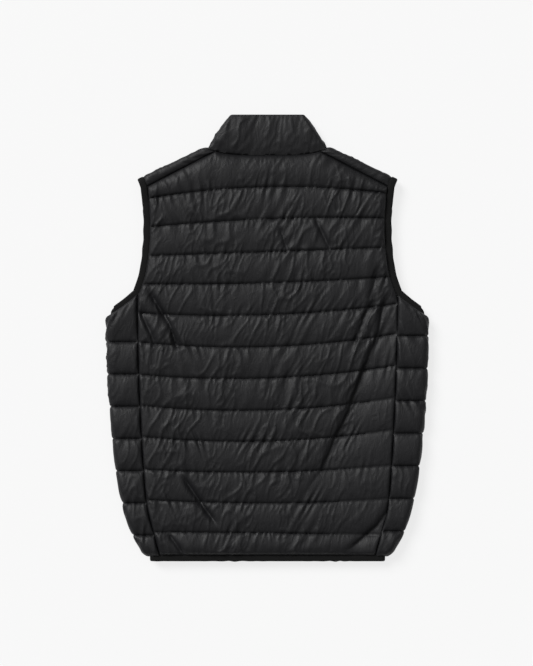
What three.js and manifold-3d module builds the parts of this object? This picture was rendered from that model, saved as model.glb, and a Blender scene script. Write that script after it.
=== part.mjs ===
// A men's quilted puffer vest, zipped shut and laid flat on its front, so the back faces up.
// Millimetres, +Z up. The vest's length runs along Y, collar at +Y, and its own left side is at -X.
// The cloth is two padded layers lying on each other: the two fronts below, the back above. Each front
// wraps round the side fold and over the shoulder fold and meets the back at a seam on the upper side.
// Heights "along" are measured up from the hem's lower edge; the whole vest is centred on Y at the end.
import * as THREE from "three";
import { mergeVertices } from "three/addons/utils/BufferGeometryUtils.js";
import Module from "manifold-3d";

const wasm = await Module();
wasm.setup();

// Sizes of the whole garment.
const LENGTH = 750; // collar top to hem edge, measured flat
const NECK_HALF = 101; // half the neck width where the collar meets the shoulder fold
const NECK_BACK_ALONG = 682; // neck seam at centre back
const NECK_POINT_ALONG = 697; // neck seam at the shoulder fold
const NECK_FRONT_ALONG = 622; // neck seam at centre front
const SHOULDER_SEAM_HALF = 88; // where the shoulder seam meets the neck seam
const COLLAR_TOP_HALF = 62; // half the collar's width along its top edge
const COLLAR_FRONT_TOP_ALONG = 687; // collar top at the zip

// Thicknesses of the padded layers, measured out from the plane where the two layers meet.
const MID = 13; // height of that plane over the surface the vest lies on
const LAYER_GAP = 0.5;
const EDGE_THICK = 5; // a layer at its bound or seamed edge
const BACK_LOFT = 17;
const BACK_SEAM_THICK = 7; // back at a quilting line
const FRONT_LOFT = MID - LAYER_GAP / 2; // the fronts' puffs are pressed flat at height 0
const FRONT_SEAM_THICK = 8.5;
const FOLD_SEAM_THICK = 10.5; // at a quilting line where it turns round the side fold
const STRIP_LOFT = 15; // the fronts where they wrap onto the upper side
const SHOULDER_LOFT = 8.5; // the shoulder fold at the armhole
const NECK_LOFT = 7; // shoulder and collar where the neck seam turns over the fold
const COLLAR_LOFT = 11;
const EDGE_REACH = 24; // how far in from an edge the padding reaches its full loft
const SEAM_REACH = 12;
const PRESSED = 1.3; // how much of the lower puffs the surface presses flat
const INNER_INSET = 1.2; // the lining side stops this far short of each edge
const GAP = 0.4; // between two pieces sewn together
const BAND_GAP = 0.4; // more between a binding and the edge it is sewn to
const FOLD_SPAN = 24; // cloth taken up by the turn at the side fold

// Bindings and zip.
const BAND_WIDTH = 8.7; // armhole binding
const HEM_BAND = 8; // hem binding, also where the panels start above the hem edge
const BAND_THICK = 5;
const ZIP_SEAM_HALF = 14.3; // the fronts end here, either side of centre
const TAPE_INNER_HALF = 2.9;
const TAPE_THICK = 1;
const ZIP_HEIGHT = 10; // height of the zip's middle plane
const CHAIN_WIDTH = 5.2;
const CHAIN_THICK = 2.6;
const CHAIN_BOTTOM = 13;
const CHAIN_TOP = 668;

// Outlines as tables, half widths at heights along the vest.
const SIDE_FOLD = [
  { along: 0, half: 197 }, { along: 8, half: 203 }, { along: 26, half: 218 }, { along: 53, half: 232 },
  { along: 93, half: 244.5 }, { along: 147, half: 255 }, { along: 227, half: 263.5 },
  { along: 321, half: 269.5 }, { along: 375, half: 271 }, { along: 460, half: 270 },
];
const UNDERARM_ALONG = 450; // where the side seam meets the armhole
const SIDE_SEAM = [
  { along: 8, half: 180 }, { along: 45, half: 190 }, { along: 94, half: 202 }, { along: 161, half: 208 },
  { along: 228, half: 212 }, { along: 308, half: 215.5 }, { along: 390, half: 217.5 },
  { along: UNDERARM_ALONG, half: 218 },
];
const BACK_ARMHOLE = [
  { along: UNDERARM_ALONG, half: 218 }, { along: 482, half: 207.5 }, { along: 529, half: 201 },
  { along: 580, half: 200 }, { along: 628, half: 204.5 },
];
const FRONT_ARMHOLE = [
  { along: 438, half: 205 }, { along: 470, half: 197 }, { along: 510, half: 192.5 },
  { along: 560, half: 192.5 }, { along: 600, half: 197 }, { along: 637.7, half: 207.7 },
];
// Underarm edge of a front, in cloth distance from the side fold: over 0 below, under 0 on the upper side.
const UNDERARM = [
  { across: -51.4, along: UNDERARM_ALONG }, { across: -33, along: 434 }, { across: -12, along: 418.5 },
  { across: 0, along: 410.5 }, { across: 12, along: 404.5 }, { across: 28, along: 401.5 },
  { across: 44, along: 408 }, { across: 56, along: 421 }, { across: 64, along: 438 },
];
// Quilting lines of the back, heights at the left, the centre and the right.
const QUILT_HALF_SPAN = 185;
const BACK_QUILTING = [
  { left: 49.5, centre: 48, right: 44.5 }, { left: 103, centre: 98, right: 104 },
  { left: 153.5, centre: 150, right: 159 }, { left: 207, centre: 202, right: 217 },
  { left: 259, centre: 254, right: 270 }, { left: 311, centre: 307.5, right: 324 },
  { left: 365, centre: 360, right: 377 }, { left: 420, centre: 413.5, right: 428 },
  { left: 465, centre: 467, right: 476 }, { left: 513, centre: 519, right: 526 },
  { left: 562, centre: 574, right: 576 }, { left: 611, centre: 628, right: 619 },
];
const FRONT_QUILTING = { left: { first: 44, pitch: 54 }, right: { first: 51, pitch: 54.6 } };
const SIDE_CHANNELS = 8; // channels of a front up to the underarm
const BACK_STEPS = [0, 0.1, 0.3, 0.5, 0.7, 0.9]; // where a channel's cross-section has points
const FRONT_STEPS = [0, 0.1, 0.32, 0.68, 0.9];

// The deepest creases pressed into the back, as points with a depth and a half width.
const CREASES = [
  { depth: 6, width: 10, path: [[202, 489], [187, 388], [135, 249], [93, 158], [50, 98]] },
  { depth: 4.5, width: 9, path: [[-200, 458], [-172, 418], [-150, 363]] },
  { depth: 4.5, width: 9, path: [[-142, 142], [-113, 100], [-81, 57]] },
  { depth: 4, width: 10, path: [[200, 92], [189, 63], [163, 39], [125, 21]] },
];
const PUCKER_PITCH = 34; // spacing of the gathers along a quilting line
const PUCKER_DEPTH = 2.4;

const COLOUR = { shell: 0x1b1b1d, binding: 0x101012, tape: 0x141416, metal: 0x2b2b2e };

const clamp01 = (t) => Math.min(1, Math.max(0, t));
const lerp = (a, b, t) => a + (b - a) * t;
const smooth = (t) => clamp01(t) ** 2 * (3 - 2 * clamp01(t));
// A quarter round: 0 at an edge, 1 from "reach" inwards.
const rise = (distance, reach) => Math.sqrt(1 - (1 - clamp01(distance / reach)) ** 2);
// A channel's cross-section, 0 on both quilting lines and 1 along the middle.
const puff = (s) => Math.sin(Math.PI * clamp01(s)) ** 0.6;

// A smooth curve through a table's rows: the value in column "to" where column "from" is "at".
function curve(table, from, to, at) {
  const last = table.length - 1;
  const row = (i) => table[Math.min(last, Math.max(0, i))];
  const slope = (i) => (row(i + 1)[to] - row(i - 1)[to]) / (row(i + 1)[from] - row(i - 1)[from]);
  let i = 0;
  while (i < last - 1 && at > table[i + 1][from]) i += 1;
  const [a, b] = [table[i], table[i + 1]];
  const span = b[from] - a[from];
  const t = clamp01((at - a[from]) / span);
  const bend = t * (1 - t);
  const straight = (b[to] - a[to]) / span;
  return lerp(a[to], b[to], t)
    + bend * span * ((slope(i) - straight) * (1 - t) - (slope(i + 1) - straight) * t);
}

const halfAt = (table, along) => curve(table, "along", "half", along);
const backHalf = (along) => halfAt(along < UNDERARM_ALONG ? SIDE_SEAM : BACK_ARMHOLE, along);
const distanceTo = (points, x, y) => Math.min(...points.map(([px, py]) => Math.hypot(px - x, py - y)));
const spread = (count, pointAt) => Array.from({ length: count + 1 }, (_, i) => pointAt(i / count));

// Turns a grid of points, rows of equal length, into faces. Cells that "present" leaves out are holes.
function sheet(rows, present = () => true) {
  const columns = rows[0].length;
  const faces = [];
  for (let j = 0; j + 1 < rows.length; j += 1) {
    for (let i = 0; i + 1 < columns; i += 1) {
      if (!present(i, j)) continue;
      const [a, b] = [j * columns + i, (j + 1) * columns + i];
      faces.push([a, a + 1, b + 1], [a, b + 1, b]);
    }
  }
  const next = new Map();
  const edges = new Set(faces.flatMap(([a, b, c]) => [`${a},${b}`, `${b},${c}`, `${c},${a}`]));
  for (const edge of edges) {
    const [a, b] = edge.split(",").map(Number);
    if (!edges.has(`${b},${a}`)) next.set(a, b);
  }
  const rim = [0];
  while (next.get(rim.at(-1)) !== 0) rim.push(next.get(rim.at(-1)));
  return { points: rows.flat(), faces, rim };
}

// Closes an outer and an inner sheet into one wall by sewing their rims together.
function wall(outer, inner) {
  const offset = outer.points.length;
  const faces = [...outer.faces, ...inner.faces.map(([a, b, c]) => [a + offset, c + offset, b + offset])];
  const points = [...outer.points, ...inner.points];
  const out = [...outer.rim, outer.rim[0]];
  const back = [...inner.rim, inner.rim[0]].map((i) => i + offset);
  let [a, b] = [0, 0];
  while (a < out.length - 1 || b < back.length - 1) {
    const outFirst = b === back.length - 1 || (a < out.length - 1
      && points[out[a + 1]].distanceTo(points[back[b]]) < points[out[a]].distanceTo(points[back[b + 1]]));
    if (outFirst) {
      faces.push([out[a + 1], out[a], back[b]]);
      a += 1;
    } else {
      faces.push([out[a], back[b], back[b + 1]]);
      b += 1;
    }
  }
  return geometryOf(points, faces);
}

// A closed mesh of points and faces. Faces that enclose a negative volume point inwards and are reversed.
function geometryOf(points, faces) {
  const volume = faces.reduce((sum, [a, b, c]) => sum + points[a].dot(points[b].clone().cross(points[c])), 0);
  const geometry = new THREE.BufferGeometry();
  geometry.setAttribute("position", new THREE.Float32BufferAttribute(points.flatMap((p) => p.toArray()), 3));
  geometry.setIndex(faces.flatMap(([a, b, c]) => (volume > 0 ? [a, b, c] : [a, c, b])));
  return geometry;
}

// Mirrors a geometry built on the +X side to the -X side.
function mirrored(geometry) {
  const copy = geometry.clone().scale(-1, 1, 1);
  const index = copy.getIndex().array;
  for (let i = 0; i < index.length; i += 3) [index[i + 1], index[i + 2]] = [index[i + 2], index[i + 1]];
  return copy;
}

function piece(name, geometry, colour, roughness = 0.55, metalness = 0) {
  const mesh = new THREE.Mesh(geometry, new THREE.MeshStandardMaterial({ color: colour, roughness, metalness }));
  mesh.name = name;
  return mesh;
}

const upper = (x, along, thick) => new THREE.Vector3(x, along, MID + LAYER_GAP / 2 + thick);

// Neck and shoulder lines, seen from above. The neck seam turns over at the neck corner, in the
// upright plane along CORNER_OUT, halfway between the shoulder fold's direction and the collar's.
const NECK_POINT = new THREE.Vector2(NECK_HALF, NECK_POINT_ALONG);
const SHOULDER_TIP = new THREE.Vector2(211.4, 645.6);
const SEAM_AT_ARM = new THREE.Vector2(204.5, 628);
const COLLAR_TIP = new THREE.Vector2(COLLAR_TOP_HALF, LENGTH);
const SHOULDER_RUN = SHOULDER_TIP.distanceTo(NECK_POINT);
const outwards = (a, b) => new THREE.Vector2(a.y - b.y, b.x - a.x).normalize();
const SHOULDER_OUT = outwards(NECK_POINT, SHOULDER_TIP);
const COLLAR_OUT = outwards(COLLAR_TIP, NECK_POINT);
const CORNER_OUT = SHOULDER_OUT.clone().add(COLLAR_OUT).normalize();
const CORNER_UP = new THREE.Vector2(-CORNER_OUT.y, CORNER_OUT.x); // from the body towards the collar
const NECK_CORNER = NECK_POINT.clone().addScaledVector(CORNER_OUT, -(LAYER_GAP / 2 + NECK_LOFT));

// Points of the two halves of the neck seam, from centre at f = 0 to the neck corner at f = 1, moved
// "off" millimetres away from the body.
function neckLine(f, start, centreAlong, power, off) {
  const plan = (t) => new THREE.Vector2(
    lerp(start, NECK_CORNER.x, t), centreAlong + (NECK_CORNER.y - centreAlong) * Math.max(0, t) ** power);
  if (f > 0.999) return NECK_CORNER.clone().addScaledVector(CORNER_UP, off);
  const step = plan(f + 0.01).sub(plan(f - 0.01)).normalize();
  return plan(f).add(new THREE.Vector2(-step.y, step.x).multiplyScalar(off));
}
const neckBack = (x) => NECK_BACK_ALONG + (NECK_CORNER.y - NECK_BACK_ALONG) * (x / NECK_CORNER.x) ** 4;
const SEAM_AT_NECK = new THREE.Vector2(SHOULDER_SEAM_HALF, neckBack(SHOULDER_SEAM_HALF));
function backTop(x) {
  const side = Math.abs(x);
  if (side <= SEAM_AT_NECK.x) return neckBack(x);
  return lerp(SEAM_AT_NECK.y, SEAM_AT_ARM.y, (side - SEAM_AT_NECK.x) / (SEAM_AT_ARM.x - SEAM_AT_NECK.x));
}

// Back: one panel over the whole upper side, quilted in level channels.
const HEM_START = HEM_BAND + GAP;
function backLine(k, x) {
  if (k === 0) return HEM_START;
  if (k > BACK_QUILTING.length) return backTop(x) - GAP / 2;
  const { left, centre, right } = BACK_QUILTING[k - 1];
  const t = x / QUILT_HALF_SPAN;
  return centre + ((right - left) / 2) * t + ((right + left) / 2 - centre) * t * t;
}

// The nearest distance to a crease's path, with how far along the path that is, from 0 to 1.
function nearPath(path, x, y) {
  let [best, where] = [Infinity, 0];
  for (let i = 0; i + 1 < path.length; i += 1) {
    const [[ax, ay], [bx, by]] = [path[i], path[i + 1]];
    const t = clamp01(((x - ax) * (bx - ax) + (y - ay) * (by - ay)) / ((bx - ax) ** 2 + (by - ay) ** 2));
    const away = Math.hypot(x - lerp(ax, bx, t), y - lerp(ay, by, t));
    if (away < best) [best, where] = [away, (i + t) / (path.length - 1)];
  }
  return [best, where];
}
function creaseDepth(x, y) {
  return CREASES.reduce((sum, { depth, width, path }) => {
    const [away, where] = nearPath(path, x, y);
    return sum + depth * Math.exp(-((away / width) ** 2)) * smooth(4 * where) * smooth(3 * (1 - where));
  }, 0);
}

const backArmhole = spread(40, (t) => {
  const along = lerp(UNDERARM_ALONG, SEAM_AT_ARM.y, t);
  return [backHalf(along), along];
});
function backThickness(x, along, channel, s) {
  const half = backHalf(along);
  const toEdge = Math.min(along - HEM_START, half - Math.abs(x), backTop(x) - along,
    distanceTo(backArmhole, Math.abs(x), along));
  const nearLine = Math.exp(-((Math.min(s, 1 - s) / 0.3) ** 2)) * puff(s);
  const wave = 0.5 + 0.5 * Math.cos((2 * Math.PI * x) / PUCKER_PITCH + 2.4 * channel);
  const full = BACK_SEAM_THICK + (BACK_LOFT - BACK_SEAM_THICK) * puff(s)
    - PUCKER_DEPTH * wave * nearLine - creaseDepth(x, along) * (0.35 + 0.65 * puff(s));
  return lerp(EDGE_THICK, full, rise(toEdge, EDGE_REACH));
}

const BACK_COLUMNS = 33;
const BACK_INNER_STEP = 3; // the lining side has every third column
const BACK_TOP = BACK_QUILTING.length + 1;
const BACK_LEVELS = [...Array(BACK_TOP).keys()].flatMap((k) => BACK_STEPS.map((s) => k + s)).concat(BACK_TOP);
function backPoint(fraction, level, inner) {
  const channel = Math.min(Math.floor(level), BACK_TOP - 1);
  const s = level - channel;
  const inset = inner ? INNER_INSET : 0;
  const shift = inset * ((level === 0 ? 1 : 0) - (level === BACK_TOP ? 1 : 0));
  let x = 0;
  let along = 0;
  for (let pass = 0; pass < 5; pass += 1) {
    along = lerp(backLine(channel, x), backLine(channel + 1, x), s) + shift;
    x = fraction * (backHalf(along) - GAP / 2 - inset);
  }
  return upper(x, along, inner ? 0 : backThickness(x, along, channel, s));
}
function backGeometry() {
  const fractions = spread(BACK_COLUMNS, (t) => {
    const even = 2 * t - 1;
    return Math.sign(even) * (1 - (1 - Math.abs(even)) ** 1.25); // closer columns near the edges
  });
  const outer = BACK_LEVELS.map((level) => fractions.map((f) => backPoint(f, level, false)));
  const some = fractions.filter((_, i) => i % BACK_INNER_STEP === 0);
  const inner = BACK_LEVELS.filter((level) => Number.isInteger(2 * level))
    .map((level) => some.map((f) => backPoint(f, level, true)));
  return wall(sheet(outer), sheet(inner));
}

// Fronts: each is one panel, built on the +X side. "across" is the cloth distance from the side fold.
const foldLoft = (along) => lerp(EDGE_THICK, FRONT_LOFT, rise(along - HEM_START, EDGE_REACH));
const foldAxis = (along) => halfAt(SIDE_FOLD, along) - LAYER_GAP / 2 - foldLoft(along);
// Wraps a point of cloth round the side fold; "thick" is its height out from the middle plane.
function wrapSide(across, along, thick) {
  const axis = foldAxis(along);
  const out = LAYER_GAP / 2 + thick;
  const flat = Math.max(0, Math.abs(across) - FOLD_SPAN / 2);
  const turn = (-across / FOLD_SPAN) * Math.PI;
  const angle = Math.min(Math.PI / 2, Math.max(-Math.PI / 2, turn));
  return new THREE.Vector3(axis - flat + out * Math.cos(angle), along, MID + out * Math.sin(angle));
}
const acrossOf = (x, along) => foldAxis(along) - x + FOLD_SPAN / 2;

const ARM_CORNER = { along: 438, half: 205 };
const ARM_FRACTION = 0.785; // the column that runs up the front armhole
const NECK_FRACTION = 0.35; // the column that meets the shoulder's neck end
const NECK_STEPS = [0, 0.1, 0.25, 0.5, 0.75, 1];
const FRONT_COLUMNS = [...NECK_STEPS.map((t) => t * NECK_FRACTION), 0.5, 0.66, ARM_FRACTION,
  0.83, 0.875, 0.92, 0.96, 1];
const FOLD_STEPS = [1 / 6, 2 / 6, 3 / 6, 4 / 6, 5 / 6, 1];
const STRIP_STEPS = [0.2, 0.5, 0.8, 1];
// Rows beside the armhole, counted in channels from the first quilting line.
const ARM_PHASES = [7.6, 7.88, 8, 8.12, 8.5, 8.88, 9, 9.12, 9.5, 9.88, 10];
const SHOULDER_STEPS = 5;
const SHOULDER_RISE = [0.3, 0.6, 0.85, 1];

const frontArmhole = spread(60, (t) => {
  const along = lerp(ARM_CORNER.along, 637.7, t);
  return [acrossOf(halfAt(FRONT_ARMHOLE, along), along), along];
});
const underarm = spread(60, (t) => {
  const across = lerp(UNDERARM[0].across, UNDERARM.at(-1).across, t);
  return [across, curve(UNDERARM, "across", "along", across)];
});
const frontNeck = spread(40, (t) => neckLine(t, ZIP_SEAM_HALF, NECK_FRONT_ALONG, 2, 0))
  .map((plan) => [acrossOf(plan.x, plan.y), plan.y]);
const frontOpenings = [...frontArmhole, ...underarm, ...frontNeck];

function frontThickness(across, along, quilting) {
  const phase = (along - quilting.first) / quilting.pitch;
  const s = phase < 0 ? (along - HEM_START) / (quilting.first - HEM_START) : phase - Math.floor(phase);
  const onTop = smooth(0.5 - across / FOLD_SPAN);
  const atFold = Math.exp(-((across / FOLD_SPAN) ** 2));
  const low = lerp(FRONT_SEAM_THICK, FOLD_SEAM_THICK, atFold);
  const loft = lerp(FRONT_LOFT, STRIP_LOFT, onTop * (1 - atFold));
  const full = lerp(low, loft, Math.min(1, puff(s) * lerp(PRESSED, 1, onTop)));
  const x = foldAxis(along) - Math.abs(across) + FOLD_SPAN / 2;
  const seam = across < 0 ? x - backHalf(along) : Infinity;
  const zip = across > 0 ? x - ZIP_SEAM_HALF : Infinity;
  const toEdge = Math.min(along - HEM_START, distanceTo(frontOpenings, across, along));
  return lerp(EDGE_THICK, full,
    Math.min(rise(toEdge, EDGE_REACH), rise(Math.min(seam, zip), SEAM_REACH)));
}

// Where one row of a front has points, from the zip, round the side fold, to the side seam.
function rowAcross(alongAt, inset) {
  const zip = acrossOf(ZIP_SEAM_HALF + inset, alongAt(FOLD_SPAN));
  let seam = -2 * FOLD_SPAN;
  for (let pass = 0; pass < 4; pass += 1) {
    const seamAlong = alongAt(seam);
    seam = -acrossOf(backHalf(seamAlong) + GAP / 2 + inset, seamAlong);
  }
  return [
    ...FRONT_COLUMNS.map((f) => lerp(zip, FOLD_SPAN / 2, f)),
    ...FOLD_STEPS.map((f) => lerp(FOLD_SPAN / 2, -FOLD_SPAN / 2, f)),
    ...STRIP_STEPS.map((f) => lerp(-FOLD_SPAN / 2, seam, f)),
  ];
}
function frontRow(alongAt, quilting, inset) {
  return rowAcross(alongAt, inset).map((across) => {
    const along = alongAt(across);
    return wrapSide(across, along, inset ? 0 : frontThickness(across, along, quilting));
  });
}
const underarmEdge = (inset) => (across) => (across >= UNDERARM.at(-1).across ? ARM_CORNER.along
  : curve(UNDERARM, "across", "along", across) - GAP / 2 - inset);

// Rows above the underarm, from the zip to the armhole, as plan points on the under layer.
function upperPlan(fraction, along, inset) {
  const half = halfAt(FRONT_ARMHOLE, along) - inset;
  return new THREE.Vector2(lerp(ZIP_SEAM_HALF + inset, half, fraction / ARM_FRACTION), along);
}
// The last row of the under layer runs along the neck seam, then along the shoulder fold's axis.
const shoulderLoft = (t) => lerp(NECK_LOFT, SHOULDER_LOFT, t);
// The axis and the outward direction of the shoulder fold, t = 0 at the neck corner, 1 at the armhole.
function shoulderAt(t, inset) {
  const ease = smooth(4 * t);
  const out = CORNER_OUT.clone().lerp(SHOULDER_OUT, ease).normalize();
  const tip = SHOULDER_TIP.clone().addScaledVector(SHOULDER_OUT, -(LAYER_GAP / 2 + SHOULDER_LOFT));
  const start = NECK_CORNER.clone().addScaledVector(CORNER_UP, -(GAP / 2 + inset));
  const end = tip.clone().lerp(start, (GAP / 2 + inset) / SHOULDER_RUN);
  return { axis: start.lerp(end, t), out };
}
function topPlan(fraction, inset) {
  if (fraction < NECK_FRACTION) {
    const f = fraction / NECK_FRACTION;
    const plan = neckLine(f, ZIP_SEAM_HALF, NECK_FRONT_ALONG, 2, -(GAP / 2 + inset));
    return plan.setX(Math.max(plan.x, ZIP_SEAM_HALF + inset));
  }
  return shoulderAt((fraction - NECK_FRACTION) / (ARM_FRACTION - NECK_FRACTION), inset).axis;
}

// Plan of the under layer beside the armhole, row by row up to the shoulder fold.
function armPlans(fraction, quilting, inset) {
  const levels = ARM_PHASES.map((phase) => quilting.first + phase * quilting.pitch);
  const plans = levels.map((level) => upperPlan(fraction, level, GAP / 2 + inset));
  const end = topPlan(fraction, inset);
  return [...plans, ...SHOULDER_RISE.map((t) => plans.at(-1).clone().lerp(end, t))];
}

function frontGeometry(quilting, inner) {
  const inset = inner ? INNER_INSET : 0;
  const levels = [];
  for (let k = 0; k < SIDE_CHANNELS; k += 1) {
    const low = k ? quilting.first + (k - 1) * quilting.pitch : HEM_START + inset;
    const high = quilting.first + k * quilting.pitch;
    levels.push(...(inner ? [0] : FRONT_STEPS).map((s) => lerp(low, high, s)));
  }
  const last = quilting.first + (SIDE_CHANNELS - 2) * quilting.pitch; // the last line right round the side
  const edge = underarmEdge(inset);
  const rows = levels.map((level) => frontRow((across) => {
    const crowd = clamp01((level - last) / (ARM_CORNER.along - last));
    return across > UNDERARM.at(-1).across || level <= last ? level : lerp(last, edge(across), crowd);
  }, quilting, inset));
  rows.push(frontRow(edge, quilting, inset));
  const armRow = rows.length - 1;
  const width = rows[0].length;

  const under = FRONT_COLUMNS.filter((f) => f <= ARM_FRACTION);
  const fill = (row) => [...row, ...Array(width - row.length).fill(new THREE.Vector3())];
  const plans = under.map((f) => armPlans(f, quilting, inset));
  for (let j = 0; j < plans[0].length; j += 1) {
    rows.push(fill(under.map((f, i) => {
      const { x, y } = plans[i][j];
      if (j < plans[0].length - 1 || f < NECK_FRACTION) {
        const across = acrossOf(x, y);
        return wrapSide(across, y, inner ? 0 : frontThickness(across, y, quilting));
      }
      const loft = shoulderLoft((f - NECK_FRACTION) / (ARM_FRACTION - NECK_FRACTION));
      return new THREE.Vector3(x, y, MID - LAYER_GAP / 2 - (inner ? 0 : loft));
    })));
  }
  const neckRow = rows.length - 1;

  // Over the shoulder fold and down to the shoulder seam, only outside the neck.
  const shoulder = (build) => rows.push(fill(under.map((f) => {
    if (f < NECK_FRACTION) return new THREE.Vector3();
    const t = (f - NECK_FRACTION) / (ARM_FRACTION - NECK_FRACTION);
    return build(t, shoulderAt(t, inset));
  })));
  for (const step of inner ? [0.5, 1] : spread(SHOULDER_STEPS, (t) => t).slice(1)) {
    shoulder((t, { axis, out }) => {
      const angle = (step - 0.5) * Math.PI;
      const radius = LAYER_GAP / 2 + (inner ? 0 : shoulderLoft(t));
      const plan = axis.addScaledVector(out, radius * Math.cos(angle));
      return new THREE.Vector3(plan.x, plan.y, MID + radius * Math.sin(angle));
    });
  }
  const seamOut = outwards(SEAM_AT_NECK, SEAM_AT_ARM);
  for (const step of inner ? [1] : [0.35, 0.75, 1]) {
    shoulder((t, { axis }) => {
      const end = (GAP / 2 + inset) / SHOULDER_RUN;
      const seam = SEAM_AT_NECK.clone().lerp(SEAM_AT_ARM, lerp(end, 1 - end, t))
        .addScaledVector(seamOut, GAP / 2 + inset);
      const plan = axis.lerp(seam, step);
      return upper(plan.x, plan.y, inner ? 0 : lerp(EDGE_THICK, shoulderLoft(t), rise(1 - step, 0.7)));
    });
  }

  const armColumn = FRONT_COLUMNS.indexOf(ARM_FRACTION);
  const neckColumn = FRONT_COLUMNS.indexOf(NECK_FRACTION);
  const present = (i, j) => {
    if (j < armRow) return true;
    if (j < neckRow) return i < armColumn;
    return i >= neckColumn && i < armColumn;
  };
  // The rows run from the zip outwards and the outer faces look down, so the columns are reversed here.
  return compact(sheet(rows.map((row) => [...row].reverse()), (i, j) => present(width - 2 - i, j)));
}

// Leaves out the points that no face uses.
function compact({ points, faces, rim }) {
  const used = [...new Set(faces.flat())].sort((a, b) => a - b);
  const renumber = new Map(used.map((old, now) => [old, now]));
  return {
    points: used.map((i) => points[i]),
    faces: faces.map((face) => face.map((i) => renumber.get(i))),
    rim: rim.map((i) => renumber.get(i)),
  };
}

// Collar: one band from the zip, round a fold, over the back and round the other fold to the zip. A row
// has the points of one level, from the zip to centre back, then the same ones mirrored.
const COLLAR_V = [0, 0.12, 0.3, 0.5, 0.7, 0.88, 1];
const COLLAR_HEIGHT = 60;
function collarFold(v, inset) {
  const level = lerp(inset / COLLAR_HEIGHT, 1 - inset / COLLAR_HEIGHT, v);
  const loft = lerp(NECK_LOFT, EDGE_THICK, level);
  const out = CORNER_OUT.clone().lerp(COLLAR_OUT, smooth(3 * level)).normalize();
  const tip = COLLAR_TIP.clone().addScaledVector(COLLAR_OUT, -(LAYER_GAP / 2 + EDGE_THICK));
  const start = NECK_CORNER.clone().addScaledVector(CORNER_UP, GAP / 2);
  return { axis: start.lerp(tip, level), out, loft, level };
}
function collarThickness(level, toZip) {
  const full = lerp(EDGE_THICK, COLLAR_LOFT, rise(Math.min(level, 1 - level), 0.45));
  return lerp(EDGE_THICK, full, rise(toZip, SEAM_REACH));
}
function collarRow(v, inner) {
  const inset = inner ? INNER_INSET : 0;
  const { axis, out, loft, level } = collarFold(v, inset);
  const thick = (toZip) => (inner ? 0 : collarThickness(level, toZip));
  const blendTo = (value, t) => (inner ? 0 : lerp(value, loft, smooth((t - 0.75) * 4)));
  const row = [];
  for (const t of NECK_STEPS) {
    const low = neckLine(t, ZIP_SEAM_HALF + inset, NECK_FRONT_ALONG, 2, GAP / 2);
    const high = COLLAR_FRONT_TOP_ALONG + (COLLAR_TIP.y - COLLAR_FRONT_TOP_ALONG) * t ** 2;
    const x = lerp(ZIP_SEAM_HALF + inset, axis.x, t);
    const y = t === 1 ? axis.y : lerp(lerp(low.y, high, level), axis.y, t ** 8);
    row.push(new THREE.Vector3(x, y, MID - LAYER_GAP / 2 - blendTo(thick(x - ZIP_SEAM_HALF), t)));
  }
  for (const t of inner ? [0.5] : [0.2, 0.4, 0.6, 0.8]) {
    const angle = (t - 0.5) * Math.PI;
    const radius = LAYER_GAP / 2 + (inner ? 0 : loft);
    const plan = axis.clone().addScaledVector(out, radius * Math.cos(angle));
    row.push(new THREE.Vector3(plan.x, plan.y, MID + radius * Math.sin(angle)));
  }
  for (const t of inner ? [1, 0.7, 0] : [1, 0.92, 0.8, 0.6, 0.4, 0.2, 0]) {
    const low = neckLine(t, 0, NECK_BACK_ALONG, 4, GAP / 2);
    const x = lerp(0, axis.x, t);
    const y = t === 1 ? axis.y : lerp(lerp(low.y, COLLAR_TIP.y, level), axis.y, t ** 8);
    row.push(upper(x, y, blendTo(thick(Infinity), t)));
  }
  return row;
}
function collarGeometry() {
  const rowsOf = (inner) => (inner ? [0, 0.5, 1] : COLLAR_V).map((v) => {
    const half = collarRow(v, inner);
    const other = half.slice(0, -1).reverse().map((p) => new THREE.Vector3(-p.x, p.y, p.z));
    return [...half, ...other].reverse();
  });
  return wall(sheet(rowsOf(false)), sheet(rowsOf(true)));
}

// Bindings: a rounded strip carried along an edge. Each section's frame is a point on the layer's inner
// face, the direction across the strip and the direction out of the layer.
function strip(frames, width, thick, closed) {
  const chamfer = thick / 4;
  const profile = [[0, 0], [width, 0], [width, thick - chamfer], [width - chamfer, thick],
    [chamfer, thick], [0, thick - chamfer]];
  const sides = profile.length;
  const points = frames.flatMap(({ at, across, out }) => profile.map(([a, b]) => at.clone()
    .addScaledVector(across, a).addScaledVector(out, b)));
  const faces = [];
  const count = frames.length;
  for (let i = 0; i < (closed ? count : count - 1); i += 1) {
    for (let k = 0; k < sides; k += 1) {
      const [a, b] = [i * sides + k, i * sides + ((k + 1) % sides)];
      const [c, d] = [((i + 1) % count) * sides + k, ((i + 1) % count) * sides + ((k + 1) % sides)];
      faces.push([a, c, b], [b, c, d]);
    }
  }
  for (let k = 1; !closed && k + 1 < sides; k += 1) {
    const end = (count - 1) * sides;
    faces.push([0, k, k + 1], [end, end + k + 1, end + k]);
  }
  return geometryOf(points, faces);
}

// A frame beside an edge that runs in the direction (dx, dy) on the cloth, to the left of it.
function chartFrame(across, along, dx, dy) {
  const length = Math.hypot(dx, dy);
  const [nx, ny] = [-dy / length, dx / length];
  const at = wrapSide(across + nx * BAND_GAP, along + ny * BAND_GAP, 0);
  const out = wrapSide(across, along, 1).sub(wrapSide(across, along, 0)).normalize();
  const ahead = wrapSide(across + nx * BAND_WIDTH, along + ny * BAND_WIDTH, 0);
  return { at, across: ahead.sub(at).normalize(), out };
}
const TIP_BAND_STEPS = 6;
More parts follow.
